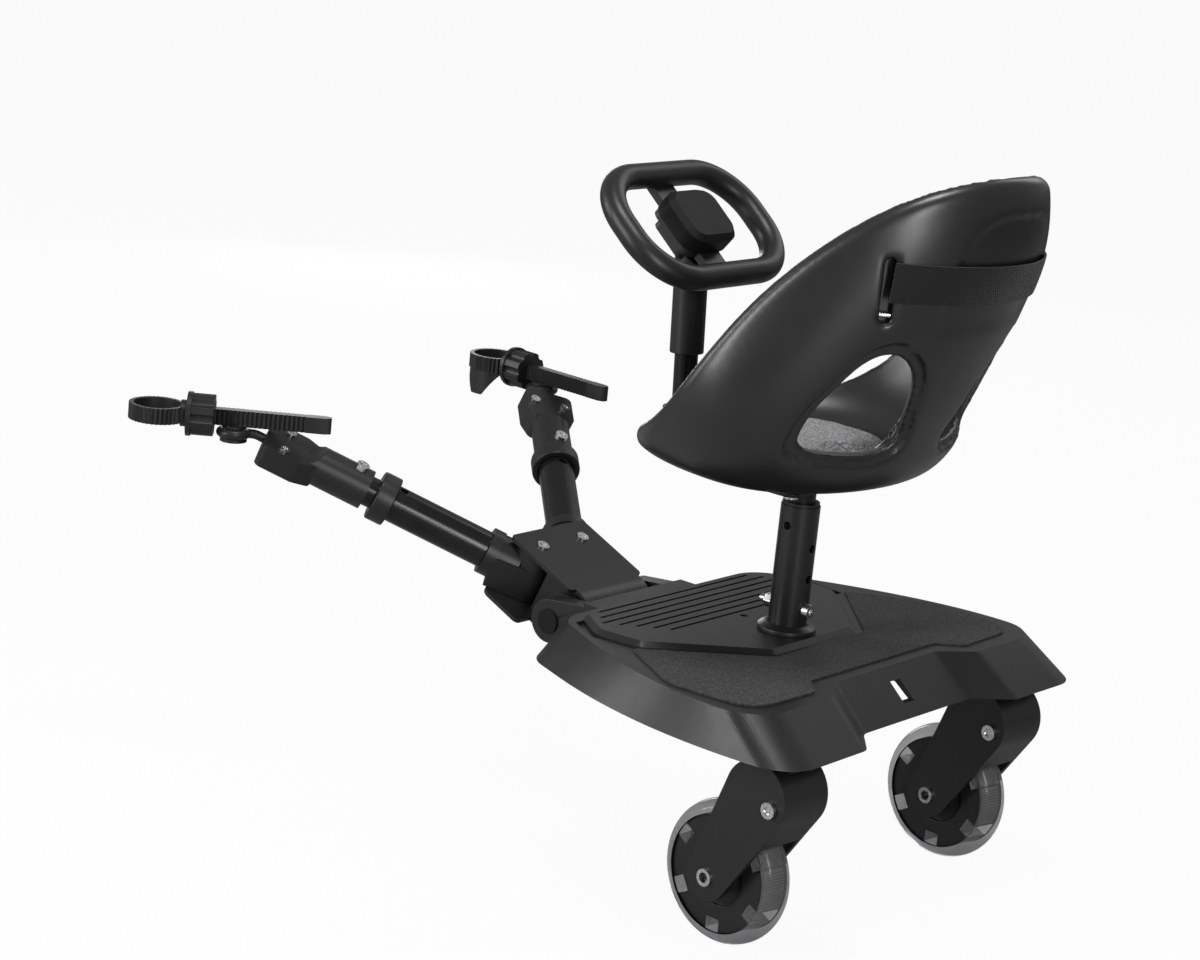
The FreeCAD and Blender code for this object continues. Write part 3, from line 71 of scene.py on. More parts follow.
CAMERA_PLACE = Vector((-1.688873, -1.089466, 0.785957))
CAMERA_RIGHT = Vector((0.636301, -0.765078, 0.098880))
CAMERA_UP = Vector((0.126388, 0.229831, 0.964989))
CAMERA_BACK = Vector((-0.761018, -0.601526, 0.242938))
CAMERA_LENS = 90.082
SENSOR_W = 36.0

# Soft light from all round, the share of the white backdrop that shiny faces mirror, and the floor
LIT_MIDDLE = (0.0, -0.1, 0.3)
SOFT_LIGHT = 0.16
MIRRORED_SHARE = 0.2
FLOOR_W = 40.0
FLOOR_GAP = 0.0005
FLOOR_GLOW = 1.05
FLOOR_GREY = 0.42
FLOOR_WHITE_SHARE = 0.9


def deselect():
    if bpy.context.mode != "OBJECT":
        bpy.ops.object.mode_set(mode="OBJECT")
    bpy.ops.object.select_all(action="DESELECT")


def pick(piece):
    deselect()
    piece.select_set(True)
    bpy.context.view_layer.objects.active = piece


# Camera and light

def place_camera():
    lens = bpy.data.cameras.new("camera")
    lens.sensor_fit = "HORIZONTAL"
    lens.sensor_width = SENSOR_W
    lens.lens = CAMERA_LENS
    lens.clip_end = 60.0
    eye = bpy.data.objects.new("camera", lens)
    bpy.context.scene.collection.objects.link(eye)
    turn = Matrix((CAMERA_RIGHT, CAMERA_UP, CAMERA_BACK)).transposed().to_4x4()
    eye.matrix_world = Matrix.Translation(CAMERA_PLACE + SHIFT) @ turn
    bpy.context.scene.camera = eye


def add_lamp(name, place, width, height, power):
    lamp = bpy.data.lights.new(name, "AREA")
    lamp.shape = "RECTANGLE"
    lamp.size = width
    lamp.size_y = height
    lamp.energy = power
    holder = bpy.data.objects.new(name, lamp)
    bpy.context.scene.collection.objects.link(holder)
    holder.location = place
    aim = Vector(LIT_MIDDLE) - Vector(place)
    holder.rotation_euler = aim.to_track_quat("-Z", "Y").to_euler()


def light_scene():
    add_lamp("top_softbox", (-0.3, -0.35, 2.1), 0.5, 0.5, 17.0)
    add_lamp("front_left_strip", (-1.2, 1.9, 1.0), 0.3, 1.1, 14.0)
    add_lamp("left_strip", (-2.0, 0.75, 0.9), 0.3, 1.2, 22.0)
    add_lamp("rear_left_strip", (-1.3, -1.9, 0.8), 0.16, 1.2, 20.0)
    add_lamp("right_softbox", (1.6, -0.1, 1.5), 0.5, 1.2, 4.0)
    add_lamp("front_right_softbox", (1.55, 1.7, 0.5), 0.5, 0.7, 5.0)
    bpy.context.scene.view_settings.view_transform = "Standard"


def math_node(tree, operation, value=None):
    node = tree.nodes.new("ShaderNodeMath")
    node.operation = operation
    if value is not None:
        node.inputs[1].default_value = value
    return node


def white_light(tree, strength):
    node = tree.nodes.new("ShaderNodeBackground")
    node.inputs["Color"].default_value = (1.0, 1.0, 1.0, 1.0)
    node.inputs["Strength"].default_value = strength
    return node


def hang_backdrop():
    """White where the camera looks or light passes through, and soft light for the rest."""
    world = bpy.data.worlds.new("studio")
    bpy.context.scene.world = world
    world.use_nodes = True
    tree = world.node_tree
    tree.nodes.clear()
    out = tree.nodes.new("ShaderNodeOutputWorld")
    soft = white_light(tree, SOFT_LIGHT)
    plain = white_light(tree, 1.0)
    path = tree.nodes.new("ShaderNodeLightPath")
    sharp = math_node(tree, "MAXIMUM")
    seen = math_node(tree, "MAXIMUM")
    mix = tree.nodes.new("ShaderNodeMixShader")
    faint = math_node(tree, "MULTIPLY", MIRRORED_SHARE)
    tree.links.new(path.outputs["Is Glossy Ray"], faint.inputs[0])
    tree.links.new(faint.outputs[0], sharp.inputs[0])
    tree.links.new(path.outputs["Is Transmission Ray"], sharp.inputs[1])
    tree.links.new(path.outputs["Is Camera Ray"], seen.inputs[0])
    tree.links.new(sharp.outputs[0], seen.inputs[1])
    tree.links.new(seen.outputs[0], mix.inputs[0])
    tree.links.new(soft.outputs[0], mix.inputs[1])
    tree.links.new(plain.outputs[0], mix.inputs[2])
    tree.links.new(mix.outputs[0], out.inputs["Surface"])


def lay_floor():
    deselect()
    bpy.ops.mesh.primitive_plane_add(size=FLOOR_W, location=(0.0, 0.0, -FLOOR_GAP))
    floor = bpy.context.active_object
    floor.name = "floor"
    material = bpy.data.materials.new("pale_floor")
    material.use_nodes = True
    tree = material.node_tree
    tree.nodes.clear()
    out = tree.nodes.new("ShaderNodeOutputMaterial")
    white = tree.nodes.new("ShaderNodeEmission")
    white.inputs["Strength"].default_value = FLOOR_GLOW
    matte = tree.nodes.new("ShaderNodeBsdfDiffuse")
    matte.inputs["Color"].default_value = (FLOOR_GREY, FLOOR_GREY, FLOOR_GREY, 1.0)
    path = tree.nodes.new("ShaderNodeLightPath")
    mix = tree.nodes.new("ShaderNodeMixShader")
    seen = math_node(tree, "MULTIPLY", FLOOR_WHITE_SHARE)
    tree.links.new(path.outputs["Is Camera Ray"], seen.inputs[0])
    tree.links.new(seen.outputs[0], mix.inputs[0])
    tree.links.new(matte.outputs[0], mix.inputs[1])
    tree.links.new(white.outputs[0], mix.inputs[2])
    tree.links.new(mix.outputs[0], out.inputs["Surface"])
    floor.data.materials.append(material)


# Finishes

class Finish:
    """A node material on Object coordinates, built up socket by socket."""

    def __init__(self, name):
        self.material = bpy.data.materials.new(name)
        self.material.use_nodes = True
        self.tree = self.material.node_tree
        self.shader = self.tree.nodes["Principled BSDF"]
        self.coords = self.tree.nodes.new("ShaderNodeTexCoord")

    def set(self, **values):
        for socket, value in values.items():
            self.shader.inputs[socket.replace("_", " ")].default_value = value
        return self

    def noise(self, scale, detail=4.0, rough=0.55):
        node = self.tree.nodes.new("ShaderNodeTexNoise")
        node.inputs["Scale"].default_value = scale
        node.inputs["Detail"].default_value = detail
        node.inputs["Roughness"].default_value = rough
        self.tree.links.new(self.coords.outputs["Object"], node.inputs["Vector"])
        return node.outputs["Fac"]

    def cells(self, scale):
        node = self.tree.nodes.new("ShaderNodeTexVoronoi")
        node.inputs["Scale"].default_value = scale
        self.tree.links.new(self.coords.outputs["Object"], node.inputs["Vector"])
        return node.outputs["Distance"]

    def ramp(self, source, low, high, dark, light):
        node = self.tree.nodes.new("ShaderNodeValToRGB")
        node.color_ramp.elements[0].position = low
        node.color_ramp.elements[1].position = high
        node.color_ramp.elements[0].color = (*dark, 1.0)
        node.color_ramp.elements[1].color = (*light, 1.0)
        self.tree.links.new(source, node.inputs["Fac"])
        return node.outputs["Color"]

    def tint(self, source, dark, light, low=0.35, high=0.65):
        color = self.ramp(source, low, high, dark, light)
        self.tree.links.new(color, self.shader.inputs["Base Color"])
        return self

    def polish(self, source, low_value, high_value):
        node = self.tree.nodes.new("ShaderNodeMapRange")
        node.inputs["To Min"].default_value = low_value
        node.inputs["To Max"].default_value = high_value
        self.tree.links.new(source, node.inputs["Value"])
        self.tree.links.new(node.outputs["Result"], self.shader.inputs["Roughness"])
        return self

    def sine(self, source, count):
        turn = math_node(self.tree, "MULTIPLY", 2.0 * math.pi * count)
        wave = math_node(self.tree, "SINE")
        self.tree.links.new(source, turn.inputs[0])
        self.tree.links.new(turn.outputs[0], wave.inputs[0])
        return wave.outputs[0]

    def weave(self, along, across):
        """Crossing threads on the piece's own map, along and across a band."""
        parts = self.tree.nodes.new("ShaderNodeSeparateXYZ")
        self.tree.links.new(self.coords.outputs["UV"], parts.inputs["Vector"])
        cross = math_node(self.tree, "MULTIPLY")
        self.tree.links.new(self.sine(parts.outputs["X"], along), cross.inputs[0])
        self.tree.links.new(self.sine(parts.outputs["Y"], across), cross.inputs[1])
        return cross.outputs[0]

    def bump(self, source, strength, depth):
        node = self.tree.nodes.new("ShaderNodeBump")
        node.inputs["Strength"].default_value = strength
        node.inputs["Distance"].default_value = depth
        self.tree.links.new(source, node.inputs["Height"])
        last = self.shader.inputs["Normal"].links
        if last:
            self.tree.links.new(last[0].from_socket, node.inputs["Normal"])
        self.tree.links.new(node.outputs["Normal"], self.shader.inputs["Normal"])
        return self


def grey(level):
    return (level, level, level * 1.03)


def moulded_black(name, level, low_rough, high_rough, grain, strength, shine=0.42):
    skin = Finish(name).set(Specular_IOR_Level=shine)
    skin.tint(skin.noise(9.0), grey(level * 0.9), grey(level * 1.12))
    skin.polish(skin.noise(60.0), low_rough, high_rough)
    skin.bump(skin.noise(grain, 2.0), strength, 0.0002)
    return skin.material


def coated_tube(name, low_rough, high_rough, shine):
    tube = Finish(name).set(Specular_IOR_Level=shine)
    tube.tint(tube.noise(12.0), grey(0.006), grey(0.011))
    tube.polish(tube.noise(80.0), low_rough, high_rough)
    tube.bump(tube.noise(240.0), 0.03, 0.0002)
    return tube.material


def make_finishes():
    finishes = {}
    finishes["black_plastic"] = moulded_black("moulded_black", 0.011, 0.34, 0.43, 900.0, 0.16)
    finishes["seat_plastic"] = moulded_black("satin_black", 0.011, 0.3, 0.37, 1100.0, 0.08, 0.58)
    finishes["strap_plastic"] = moulded_black("strap_black", 0.009, 0.36, 0.46, 700.0, 0.12)
    # Hub cover: a darker, rougher, less shiny copy of the moulded black; its darker colour is painted shade
    # on the lit top face
    finishes["dark_cap"] = moulded_black("cap_black_painted_shade", 0.007, 0.5, 0.6, 800.0, 0.1, 0.18)

    tape = Finish("grip_tape")
    tape.tint(tape.noise(700.0, 2.0, 0.7), grey(0.016), grey(0.085), 0.42, 0.72)
    tape.polish(tape.noise(300.0), 0.7, 0.95)
    tape.bump(tape.cells(620.0), 0.6, 0.0005)
    finishes["grip"] = tape.material

    finishes["black_tube"] = coated_tube("gloss_black_tube", 0.18, 0.28, 0.3)
    finishes["satin_post"] = coated_tube("satin_post", 0.3, 0.38, 0.5)

    rod = Finish("coated_rod").set(Specular_IOR_Level=0.3)
    rod.tint(rod.noise(30.0), grey(0.012), grey(0.024))
    rod.polish(rod.noise(200.0), 0.3, 0.42)
    finishes["black_rod"] = rod.material

    zinc = Finish("bright_zinc").set(Metallic=1.0)
    zinc.tint(zinc.noise(260.0), (0.56, 0.56, 0.57), (0.8, 0.8, 0.8))
    zinc.polish(zinc.noise(500.0), 0.18, 0.36)
    zinc.bump(zinc.noise(900.0), 0.06, 0.0002)
    finishes["zinc"] = zinc.material

    steel = Finish("spring_steel").set(Metallic=1.0)
    steel.tint(steel.noise(300.0), (0.3, 0.3, 0.31), (0.5, 0.5, 0.5))
    steel.polish(steel.noise(600.0), 0.25, 0.42)
    finishes["spring_steel"] = steel.material

    cloth = Finish("speckled_cushion").set(Sheen_Weight=0.3)
    cloth.tint(cloth.cells(520.0), grey(0.02), grey(0.26), 0.25, 0.75)
    cloth.polish(cloth.noise(200.0), 0.85, 0.97)
    cloth.bump(cloth.cells(520.0), 0.5, 0.0006)
    finishes["cushion"] = cloth.material

    web = Finish("black_webbing").set(Sheen_Weight=0.15, Specular_IOR_Level=0.2)
    threads = web.weave(95.0, 9.0)
    web.tint(threads, grey(0.011), grey(0.022), 0.3, 0.7)
    web.polish(web.noise(300.0), 0.7, 0.88)
    web.bump(threads, 0.7, 0.0004)
    finishes["webbing"] = web.material

    clear = Finish("clear_tyre").set(IOR=1.06, Transmission_Weight=0.9)
    clear.set(Coat_Weight=0.3, Coat_Roughness=0.12)
    clear.tint(clear.noise(14.0), (0.86, 0.87, 0.88), (0.93, 0.93, 0.94))
    clear.polish(clear.noise(120.0), 0.03, 0.08)
    finishes["clear_tyre"] = clear.material
    return finishes


# Softened copies of the solids

MERGE_GAP = 1e-6
BEVEL_FROM = math.radians(38.0)
SMOOTH_UP_TO = math.radians(36.0)
ROUND_FROM = math.radians(30.0)
RECESS_WALL = 0.0001


def free_copy(node, name):
    """A copy of the node's mesh with its corners merged, as a piece of its own."""
    piece = nodes[node].copy()
    piece.data = nodes[node].data.copy()
    piece.name = name
    piece.parent = None
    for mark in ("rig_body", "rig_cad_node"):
        if mark in piece:
            del piece[mark]
    bpy.context.scene.collection.objects.link(piece)
    pick(piece)
    bpy.ops.mesh.customdata_custom_splitnormals_clear()
    bpy.ops.object.mode_set(mode="EDIT")
    bpy.ops.mesh.select_all(action="SELECT")
    bpy.ops.mesh.remove_doubles(threshold=MERGE_GAP)
    bpy.ops.object.mode_set(mode="OBJECT")
    return piece


def apply_modifier(piece, kind, **settings):
    pick(piece)
    modifier = piece.modifiers.new(kind.lower(), kind)
    for key, value in settings.items():
        setattr(modifier, key, value)
    bpy.ops.object.modifier_apply(modifier=modifier.name)


def dress(piece, finish):
    piece.data.materials.clear()
    piece.data.materials.append(finish)


def stand_for(piece, node):
    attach(piece, nodes[node]["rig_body"])
    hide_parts(node)
    slot = node_slot[node]
    dress(piece, finishes[slot])


def finish_edges(piece, width):
    """Rounds a rigid piece's sharp edges, and keeps its flat faces looking flat."""
    pick(piece)
    apply_modifier(piece, "BEVEL", width=width, segments=3, limit_method="ANGLE",
                   angle_limit=BEVEL_FROM, use_clamp_overlap=True)
    bpy.ops.object.shade_smooth_by_angle(angle=SMOOTH_UP_TO)
    apply_modifier(piece, "WEIGHTED_NORMAL", keep_sharp=True)


def soften(node, width):
    """The node's own shape with its sharp edges rounded over."""
    piece = free_copy(node, node + "_rounded")
    finish_edges(piece, width)
    stand_for(piece, node)
    return piece


def sharp_edges(mesh, least):
    """Outside edges whose faces meet at more than the least angle, as (edge, middle, direction)."""
    beside = {}
    for face in mesh.polygons:
        for key in face.edge_keys:
            beside.setdefault(key, []).append(face)
    found = []
    for edge in mesh.edges:
        faces = beside.get(edge.key, [])
        if len(faces) != 2 or faces[0].normal.angle(faces[1].normal, 0.0) < least:
            continue
        if (faces[1].center - faces[0].center).dot(faces[0].normal) > 0.0:
            continue
        start, end = (mesh.vertices[index].co for index in edge.vertices)
        found.append((edge, (start + end) / 2, (end - start).normalized()))
    return found


def middle_of(node):
    low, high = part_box(node)
    return (Vector(low) + Vector(high)) / 2


def clear_choice(piece):
    """Leaves nothing chosen on the piece's mesh."""
    pick(piece)
    bpy.ops.object.mode_set(mode="EDIT")
    bpy.ops.mesh.select_mode(type="VERT")
    bpy.ops.mesh.select_all(action="DESELECT")
    bpy.ops.object.mode_set(mode="OBJECT")


def round_over(piece, width, chosen):
    """Rounds the outside edges for which chosen(middle, direction) holds."""
    clear_choice(piece)
    for edge, middle, direction in sharp_edges(piece.data, ROUND_FROM):
        if chosen(middle, direction):
            edge.select = True
            for index in edge.vertices:
                piece.data.vertices[index].select = True
    bpy.ops.object.mode_set(mode="EDIT")
    bpy.ops.mesh.select_mode(type="EDGE")
    bpy.ops.mesh.bevel(offset=width, segments=4, profile=0.5, clamp_overlap=True, affect="EDGES")
    bpy.ops.object.mode_set(mode="OBJECT")


def sink_faces(piece, rim, depth, chosen):
    """Sinks a recess into the flat ends for which chosen(face) holds, leaving a rim."""
    clear_choice(piece)
    for face in piece.data.polygons:
        face.select = chosen(face)
    bpy.ops.object.mode_set(mode="EDIT")
    bpy.ops.mesh.select_mode(type="FACE")
    bpy.ops.mesh.inset(thickness=rim, depth=0.0)
    bpy.ops.mesh.inset(thickness=RECESS_WALL, depth=-depth)
    bpy.ops.object.mode_set(mode="OBJECT")


# Deck

# Half outline of the skirt at its top and foot: front, side and rear corner, and the side corner's radius
SKIRT_TOP = (Vector((0.112, 0.179)), Vector((0.181, 0.045)), Vector((0.171, -0.04)), 0.060)
SKIRT_FOOT = (Vector((0.132, 0.190)), Vector((0.191, 0.050)), Vector((0.179, -0.075)), 0.062)
# How far the sweep runs ahead of and behind the side corner, as a share of the way to the next corner
SWEEP_AHEAD = 0.7
SWEEP_BEHIND = 0.8
# The bend starts this far in from the side and is full this near to it
SWEEP_INWARD = 0.045
SWEEP_FULL = 0.012
SWEEP_CUTS = 21
SWEEP_FRONT = 0.14
SWEEP_PITCH = 0.01
RIM_ROUND = 0.006
PLATEAU_ROUND = 0.0012
DECK_EDGE = 0.0005
LEVEL_GAP = 0.0002


def skirt_corners(share):
    """The half outline's three corners and side radius at a height, from 0 at the foot to 1 at the top."""
    corners = [low.lerp(high, share) for low, high in zip(SKIRT_FOOT[:3], SKIRT_TOP[:3])]
    return corners, SKIRT_FOOT[3] + (SKIRT_TOP[3] - SKIRT_FOOT[3]) * share


def side_reach(y, corners, radius):
    """Half width of the plain outline, which turns its side corner on a small arc."""
    ahead, corner, behind = corners
    ways = ((ahead - corner).normalized(), (behind - corner).normalized())
    half_turn = (math.pi - ways[0].angle(ways[1])) / 2
    reach = radius * math.tan(half_turn)
    inward = (ways[0] + ways[1]).normalized()
    middle = corner + inward * (radius / math.cos(half_turn))
    if (corner + ways[1] * reach).y < y < (corner + ways[0] * reach).y:
        return middle.x + math.sqrt(radius ** 2 - (y - middle.y) ** 2)
    end = ahead if y > corner.y else behind
    return corner.x + (end.x - corner.x) * (y - corner.y) / (end.y - corner.y)


def swept_reach(y, corners):
    """Half width where the side bends in one long sweep, or None beyond the sweep's ends."""
    ahead, corner, behind = corners
    start = corner.lerp(ahead, SWEEP_AHEAD)
    end = corner.lerp(behind, SWEEP_BEHIND)
    if not end.y < y < start.y:
        return None
    a = start.y - 2 * corner.y + end.y
    b = 2 * (corner.y - start.y)
    c = start.y - y
    turn = (-b - math.sqrt(b * b - 4 * a * c)) / (2 * a) if abs(a) > 1e-9 else -c / b
    return (1 - turn) ** 2 * start.x + 2 * turn * (1 - turn) * corner.x + turn ** 2 * end.x


def sweep_sides(deck, foot, top):
    """Bends both long sides of the deck in one sweep, rim and skirt together."""
    pick(deck)
    bpy.ops.object.mode_set(mode="EDIT")
    for step in range(SWEEP_CUTS):
        cut = SWEEP_FRONT - SWEEP_PITCH * step + SHIFT.y
        bpy.ops.mesh.select_all(action="SELECT")
        bpy.ops.mesh.bisect(plane_co=(0.0, cut, 0.0), plane_no=(0.0, 1.0, 0.0))
    bpy.ops.object.mode_set(mode="OBJECT")
    for vertex in deck.data.vertices:
        across = vertex.co.x - SHIFT.x
        share = min(max((vertex.co.z - foot) / (top - foot), 0.0), 1.0)
        corners, radius = skirt_corners(share)
        y = vertex.co.y - SHIFT.y
        swept = swept_reach(y, corners)
        if swept is None:
            continue
        plain = side_reach(y, corners, radius)
        depth = (abs(across) - (plain - SWEEP_INWARD)) / (SWEEP_INWARD - SWEEP_FULL)
        part = min(max(depth, 0.0), 1.0)
        part = part * part * (3.0 - 2.0 * part)
        vertex.co.x += (swept - plain) * part * math.copysign(1.0, across)


def make_deck_moulding():
    deck = free_copy("deck", "deck_moulding")
    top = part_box("grip_pad")[0][2]
    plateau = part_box("deck")[1][2]
    sweep_sides(deck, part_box("deck")[0][2], top)
    round_over(deck, RIM_ROUND, lambda at, along: abs(at.z - top) < LEVEL_GAP)
    round_over(deck, PLATEAU_ROUND, lambda at, along: abs(at.z - plateau) < LEVEL_GAP and abs(along.x) < 0.99)
    finish_edges(deck, DECK_EDGE)
    stand_for(deck, "deck")


# Screws and bolts

BRACKET_TILT = math.radians(23.2)
BRACKET_UP = Vector((0.0, -math.sin(BRACKET_TILT), math.cos(BRACKET_TILT)))
CASTER_TURN = math.radians(-5.0)
AXLE_LINE = Vector((math.cos(CASTER_TURN), math.sin(CASTER_TURN), 0.0))
AXLE_EDGE = 0.0005
AXLE_HOLE_R = 0.0035
AXLE_HOLE_FROM = 0.012


def make_socket_heads(node, rim, depth, edge, chosen):
    piece = free_copy(node, node + "_sockets")
    sink_faces(piece, rim, depth, chosen)
    finish_edges(piece, edge)
    stand_for(piece, node)


def outer_ends(node):
    """Chooses the flat ends that a cross bolt shows on both sides."""
    middle = middle_of(node)
    return lambda face: abs(face.normal.dot(AXLE_LINE)) > 0.99 and face.normal.dot(face.center - middle) > 0.0


def make_axle_with_painted_hole_shade(side):
    """The axle, with painted shade on the faces inside the holes in its ends."""
    node = side + "_axle"
    axle = free_copy(node, node + "_hollow")
    finish_edges(axle, AXLE_EDGE)
    stand_for(axle, node)
    # Painted shade: the faces inside the end holes take the black plastic finish
    axle.data.materials.append(finishes["black_plastic"])
    middle = middle_of(node)
    for face in axle.data.polygons:
        out = face.center - middle
        across = out.dot(AXLE_LINE)
        out -= AXLE_LINE * across
        if out.length < AXLE_HOLE_R and abs(across) > AXLE_HOLE_FROM:
            face.material_index = 1


# Wheels

CORE_R = 0.041
CORE_GAP = 0.0015
TYRE_R = 0.05
TYRE_HALF_W = 0.0122
TREAD_RISE = 0.0082
TREAD_CUTS = 5
TREAD_PITCH = 0.0023
TYRE_SMOOTH_UP_TO = math.radians(32.0)


def make_tyre(side):
    """The clear tyre with a round tread, its inside bonded to the dark core."""
    node = side + "_tyre"
    middle = middle_of(side + "_axle")
    tyre = free_copy(node, node + "_clear")
    bpy.ops.object.mode_set(mode="EDIT")
    for step in range(TREAD_CUTS):
        across = TREAD_PITCH * (step - TREAD_CUTS // 2)
        bpy.ops.mesh.select_all(action="SELECT")
        bpy.ops.mesh.bisect(plane_co=middle + AXLE_LINE * across, plane_no=AXLE_LINE)
    bpy.ops.object.mode_set(mode="OBJECT")
    for vertex in tyre.data.vertices:
        across = (vertex.co - middle).dot(AXLE_LINE)
        out = vertex.co - middle - AXLE_LINE * across
        crown = TYRE_R - TREAD_RISE + TREAD_RISE * math.sqrt(1.0 - (across / TYRE_HALF_W) ** 2)
        if out.length > crown:
            vertex.co -= out * (1.0 - crown / out.length)
    pick(tyre)
    bpy.ops.object.shade_smooth_by_angle(angle=TYRE_SMOOTH_UP_TO)
    stand_for(tyre, node)
    bonded = Finish("bonded_black").set(Specular_IOR_Level=0.0)
    bonded.tint(bonded.noise(40.0), grey(0.004), grey(0.008))
    tyre.data.materials.append(bonded.material)
    for face in tyre.data.polygons:
        out = face.center - middle
        out -= AXLE_LINE * out.dot(AXLE_LINE)
        if face.normal.dot(out) < -0.5 * out.length and abs(out.length - CORE_R) < CORE_GAP:
            face.material_index = 1


# Bucket seat

SEAT_VOXEL = 0.0021
SEAT_PASSES = 12
# The arch's foot on the seat's back: behind this place, within this half width and between these heights
ARCH_BEHIND = -0.04
ARCH_HALF_W = 0.064
ARCH_LOW = 0.408
ARCH_HIGH = 0.443
ARCH_PASSES = 70
PAD_VOXEL = 0.004
PAD_PASSES = 4
PAD_PRESSURE = 4.0
PAD_SWELL = 0.004
PAD_STEPS = 20
PAD_GAP = 0.0002


def blend_arch_foot(bucket):
    """Lets the arch on the seat's back run out softly below the belt."""
    group = bucket.vertex_groups.new(name="arch_foot")
    for vertex in bucket.data.vertices:
        place = vertex.co - SHIFT
        behind = place.y < ARCH_BEHIND and vertex.normal.y < 0.0
        if behind and abs(place.x) < ARCH_HALF_W and ARCH_LOW < place.z < ARCH_HIGH:
            group.add([vertex.index], 1.0, "REPLACE")
    apply_modifier(bucket, "SMOOTH", factor=0.5, iterations=ARCH_PASSES, vertex_group=group.name)
    bucket.vertex_groups.clear()


def make_seat_bucket():
    bucket = free_copy("seat_shell", "seat_bucket")
    apply_modifier(bucket, "REMESH", mode="VOXEL", voxel_size=SEAT_VOXEL)
    apply_modifier(bucket, "SMOOTH", factor=0.5, iterations=SEAT_PASSES)
    blend_arch_foot(bucket)
    bpy.ops.object.shade_smooth()
    stand_for(bucket, "seat_shell")


def swell(piece, pressure, most):
    """Lets air pressure round the piece out, with no point going further than most."""
    start = [vertex.co.copy() for vertex in piece.data.vertices]
    pick(piece)
    cloth = piece.modifiers.new("cloth", "CLOTH")
    cloth.settings.use_pressure = True
    cloth.settings.uniform_pressure_force = pressure
    cloth.settings.effector_weights.gravity = 0.0
    cloth.settings.quality = 5
    cloth.point_cache.frame_start = 1
    cloth.point_cache.frame_end = PAD_STEPS
    for step in range(1, PAD_STEPS + 1):
        bpy.context.scene.frame_set(step)
    pick(piece)
    bpy.ops.object.modifier_apply(modifier=cloth.name)
    for vertex, before in zip(piece.data.vertices, start):
        move = vertex.co - before
        if move.length > most:
            vertex.co = before + move * (most / move.length)
    bpy.context.scene.frame_set(1)


def make_seat_cushion():
    cushion = free_copy("seat_pad", "seat_cushion")
    apply_modifier(cushion, "REMESH", mode="VOXEL", voxel_size=PAD_VOXEL)
    apply_modifier(cushion, "SMOOTH", factor=0.5, iterations=PAD_PASSES)
    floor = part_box("seat_pad")[0][2]
    swell(cushion, PAD_PRESSURE, PAD_SWELL)
    for vertex in cushion.data.vertices:
        vertex.co.z = max(vertex.co.z, floor + PAD_GAP)
    apply_modifier(cushion, "SUBSURF", levels=1, render_levels=1)
    bpy.ops.object.shade_smooth()
    stand_for(cushion, "seat_pad")


# Back belt

SLOT_AIM = math.radians(42.0)
SLOT_OUT = Vector((math.cos(SLOT_AIM), -math.sin(SLOT_AIM), 0.0))
SLOT_PLACE = Vector((0.0856, -0.042, 0.452))
BELT_BEHIND = 0.03
BELT_END_GAP = 0.006
BELT_EDGE_GAP = 0.0006
BELT_TUCKS = (0.004, 0.009)
BELT_TIP = 0.0004
BELT_THICK = 0.0014
BELT_SMOOTH_UP_TO = math.radians(40.0)
ANCHOR_SIZE = (0.003, 0.024, 0.056)
ANCHOR_INSIDE = 0.0145
ANCHOR_CORNER = 0.007
ANCHOR_EDGE = 0.0008
PIN_R = 0.0015
PIN_L = 0.008
PIN_BELOW = 0.0165
PIN_INSIDE = 0.006
PIN_EDGE = 0.0005


def make_back_belt():
    """Webbing pressed to the back of the shell, its ends turned in through the slots."""
    low, high = (Vector(corner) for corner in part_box("back_belt"))
    middle = (low + high) / 2
    deselect()
    bpy.ops.mesh.primitive_grid_add(x_subdivisions=90, y_subdivisions=8, size=1.0, calc_uvs=True,
                                    location=(middle.x, low.y - BELT_BEHIND, middle.z),
                                    rotation=(math.radians(90.0), 0.0, 0.0))
    belt = bpy.context.active_object
    belt.name = "back_webbing"
    belt.scale = (high.x - low.x - BELT_END_GAP, high.z - low.z - BELT_EDGE_GAP, 1.0)
    bpy.ops.object.transform_apply(location=True, rotation=True, scale=True)
    apply_modifier(belt, "SHRINKWRAP", target=nodes["back_belt"], wrap_method="PROJECT", use_project_y=True,
                   use_positive_direction=True, use_negative_direction=False)
    for turn in (-1.0, 1.0):
        for reach in BELT_TUCKS:
            clear_choice(belt)
            tips = [vertex for vertex in belt.data.vertices if turn * vertex.co.x > 0.0]
            found_end = max(vertex.co.y for vertex in tips)
            for vertex in tips:
                vertex.select = vertex.co.y > found_end - BELT_TIP
            bpy.ops.object.mode_set(mode="EDIT")
            inward = Vector((-turn * SLOT_OUT.x, -SLOT_OUT.y, 0.0)) * reach
            bpy.ops.mesh.extrude_region_move(TRANSFORM_OT_translate={"value": inward})
            bpy.ops.object.mode_set(mode="OBJECT")
    apply_modifier(belt, "SOLIDIFY", thickness=BELT_THICK, offset=-1.0)
    bpy.ops.object.shade_smooth_by_angle(angle=BELT_SMOOTH_UP_TO)
    stand_for(belt, "back_belt")


def make_anchor_plate(side, out, place):
    """Rounded plate inside the shell, which holds the belt's end behind its slot."""
    deselect()
    bpy.ops.mesh.primitive_cube_add(size=1.0, location=place - out * ANCHOR_INSIDE,
                                    rotation=(0.0, 0.0, math.atan2(out.y, out.x)))
    plate = bpy.context.active_object
    plate.name = side + "_anchor_plate"
    plate.scale = ANCHOR_SIZE
    bpy.ops.object.transform_apply(location=True, rotation=True, scale=True)
    round_over(plate, ANCHOR_CORNER, lambda at, run: abs(run.dot(out)) > 0.99)
    finish_edges(plate, ANCHOR_EDGE)
    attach(plate, "board")
    dress(plate, finishes["black_plastic"])


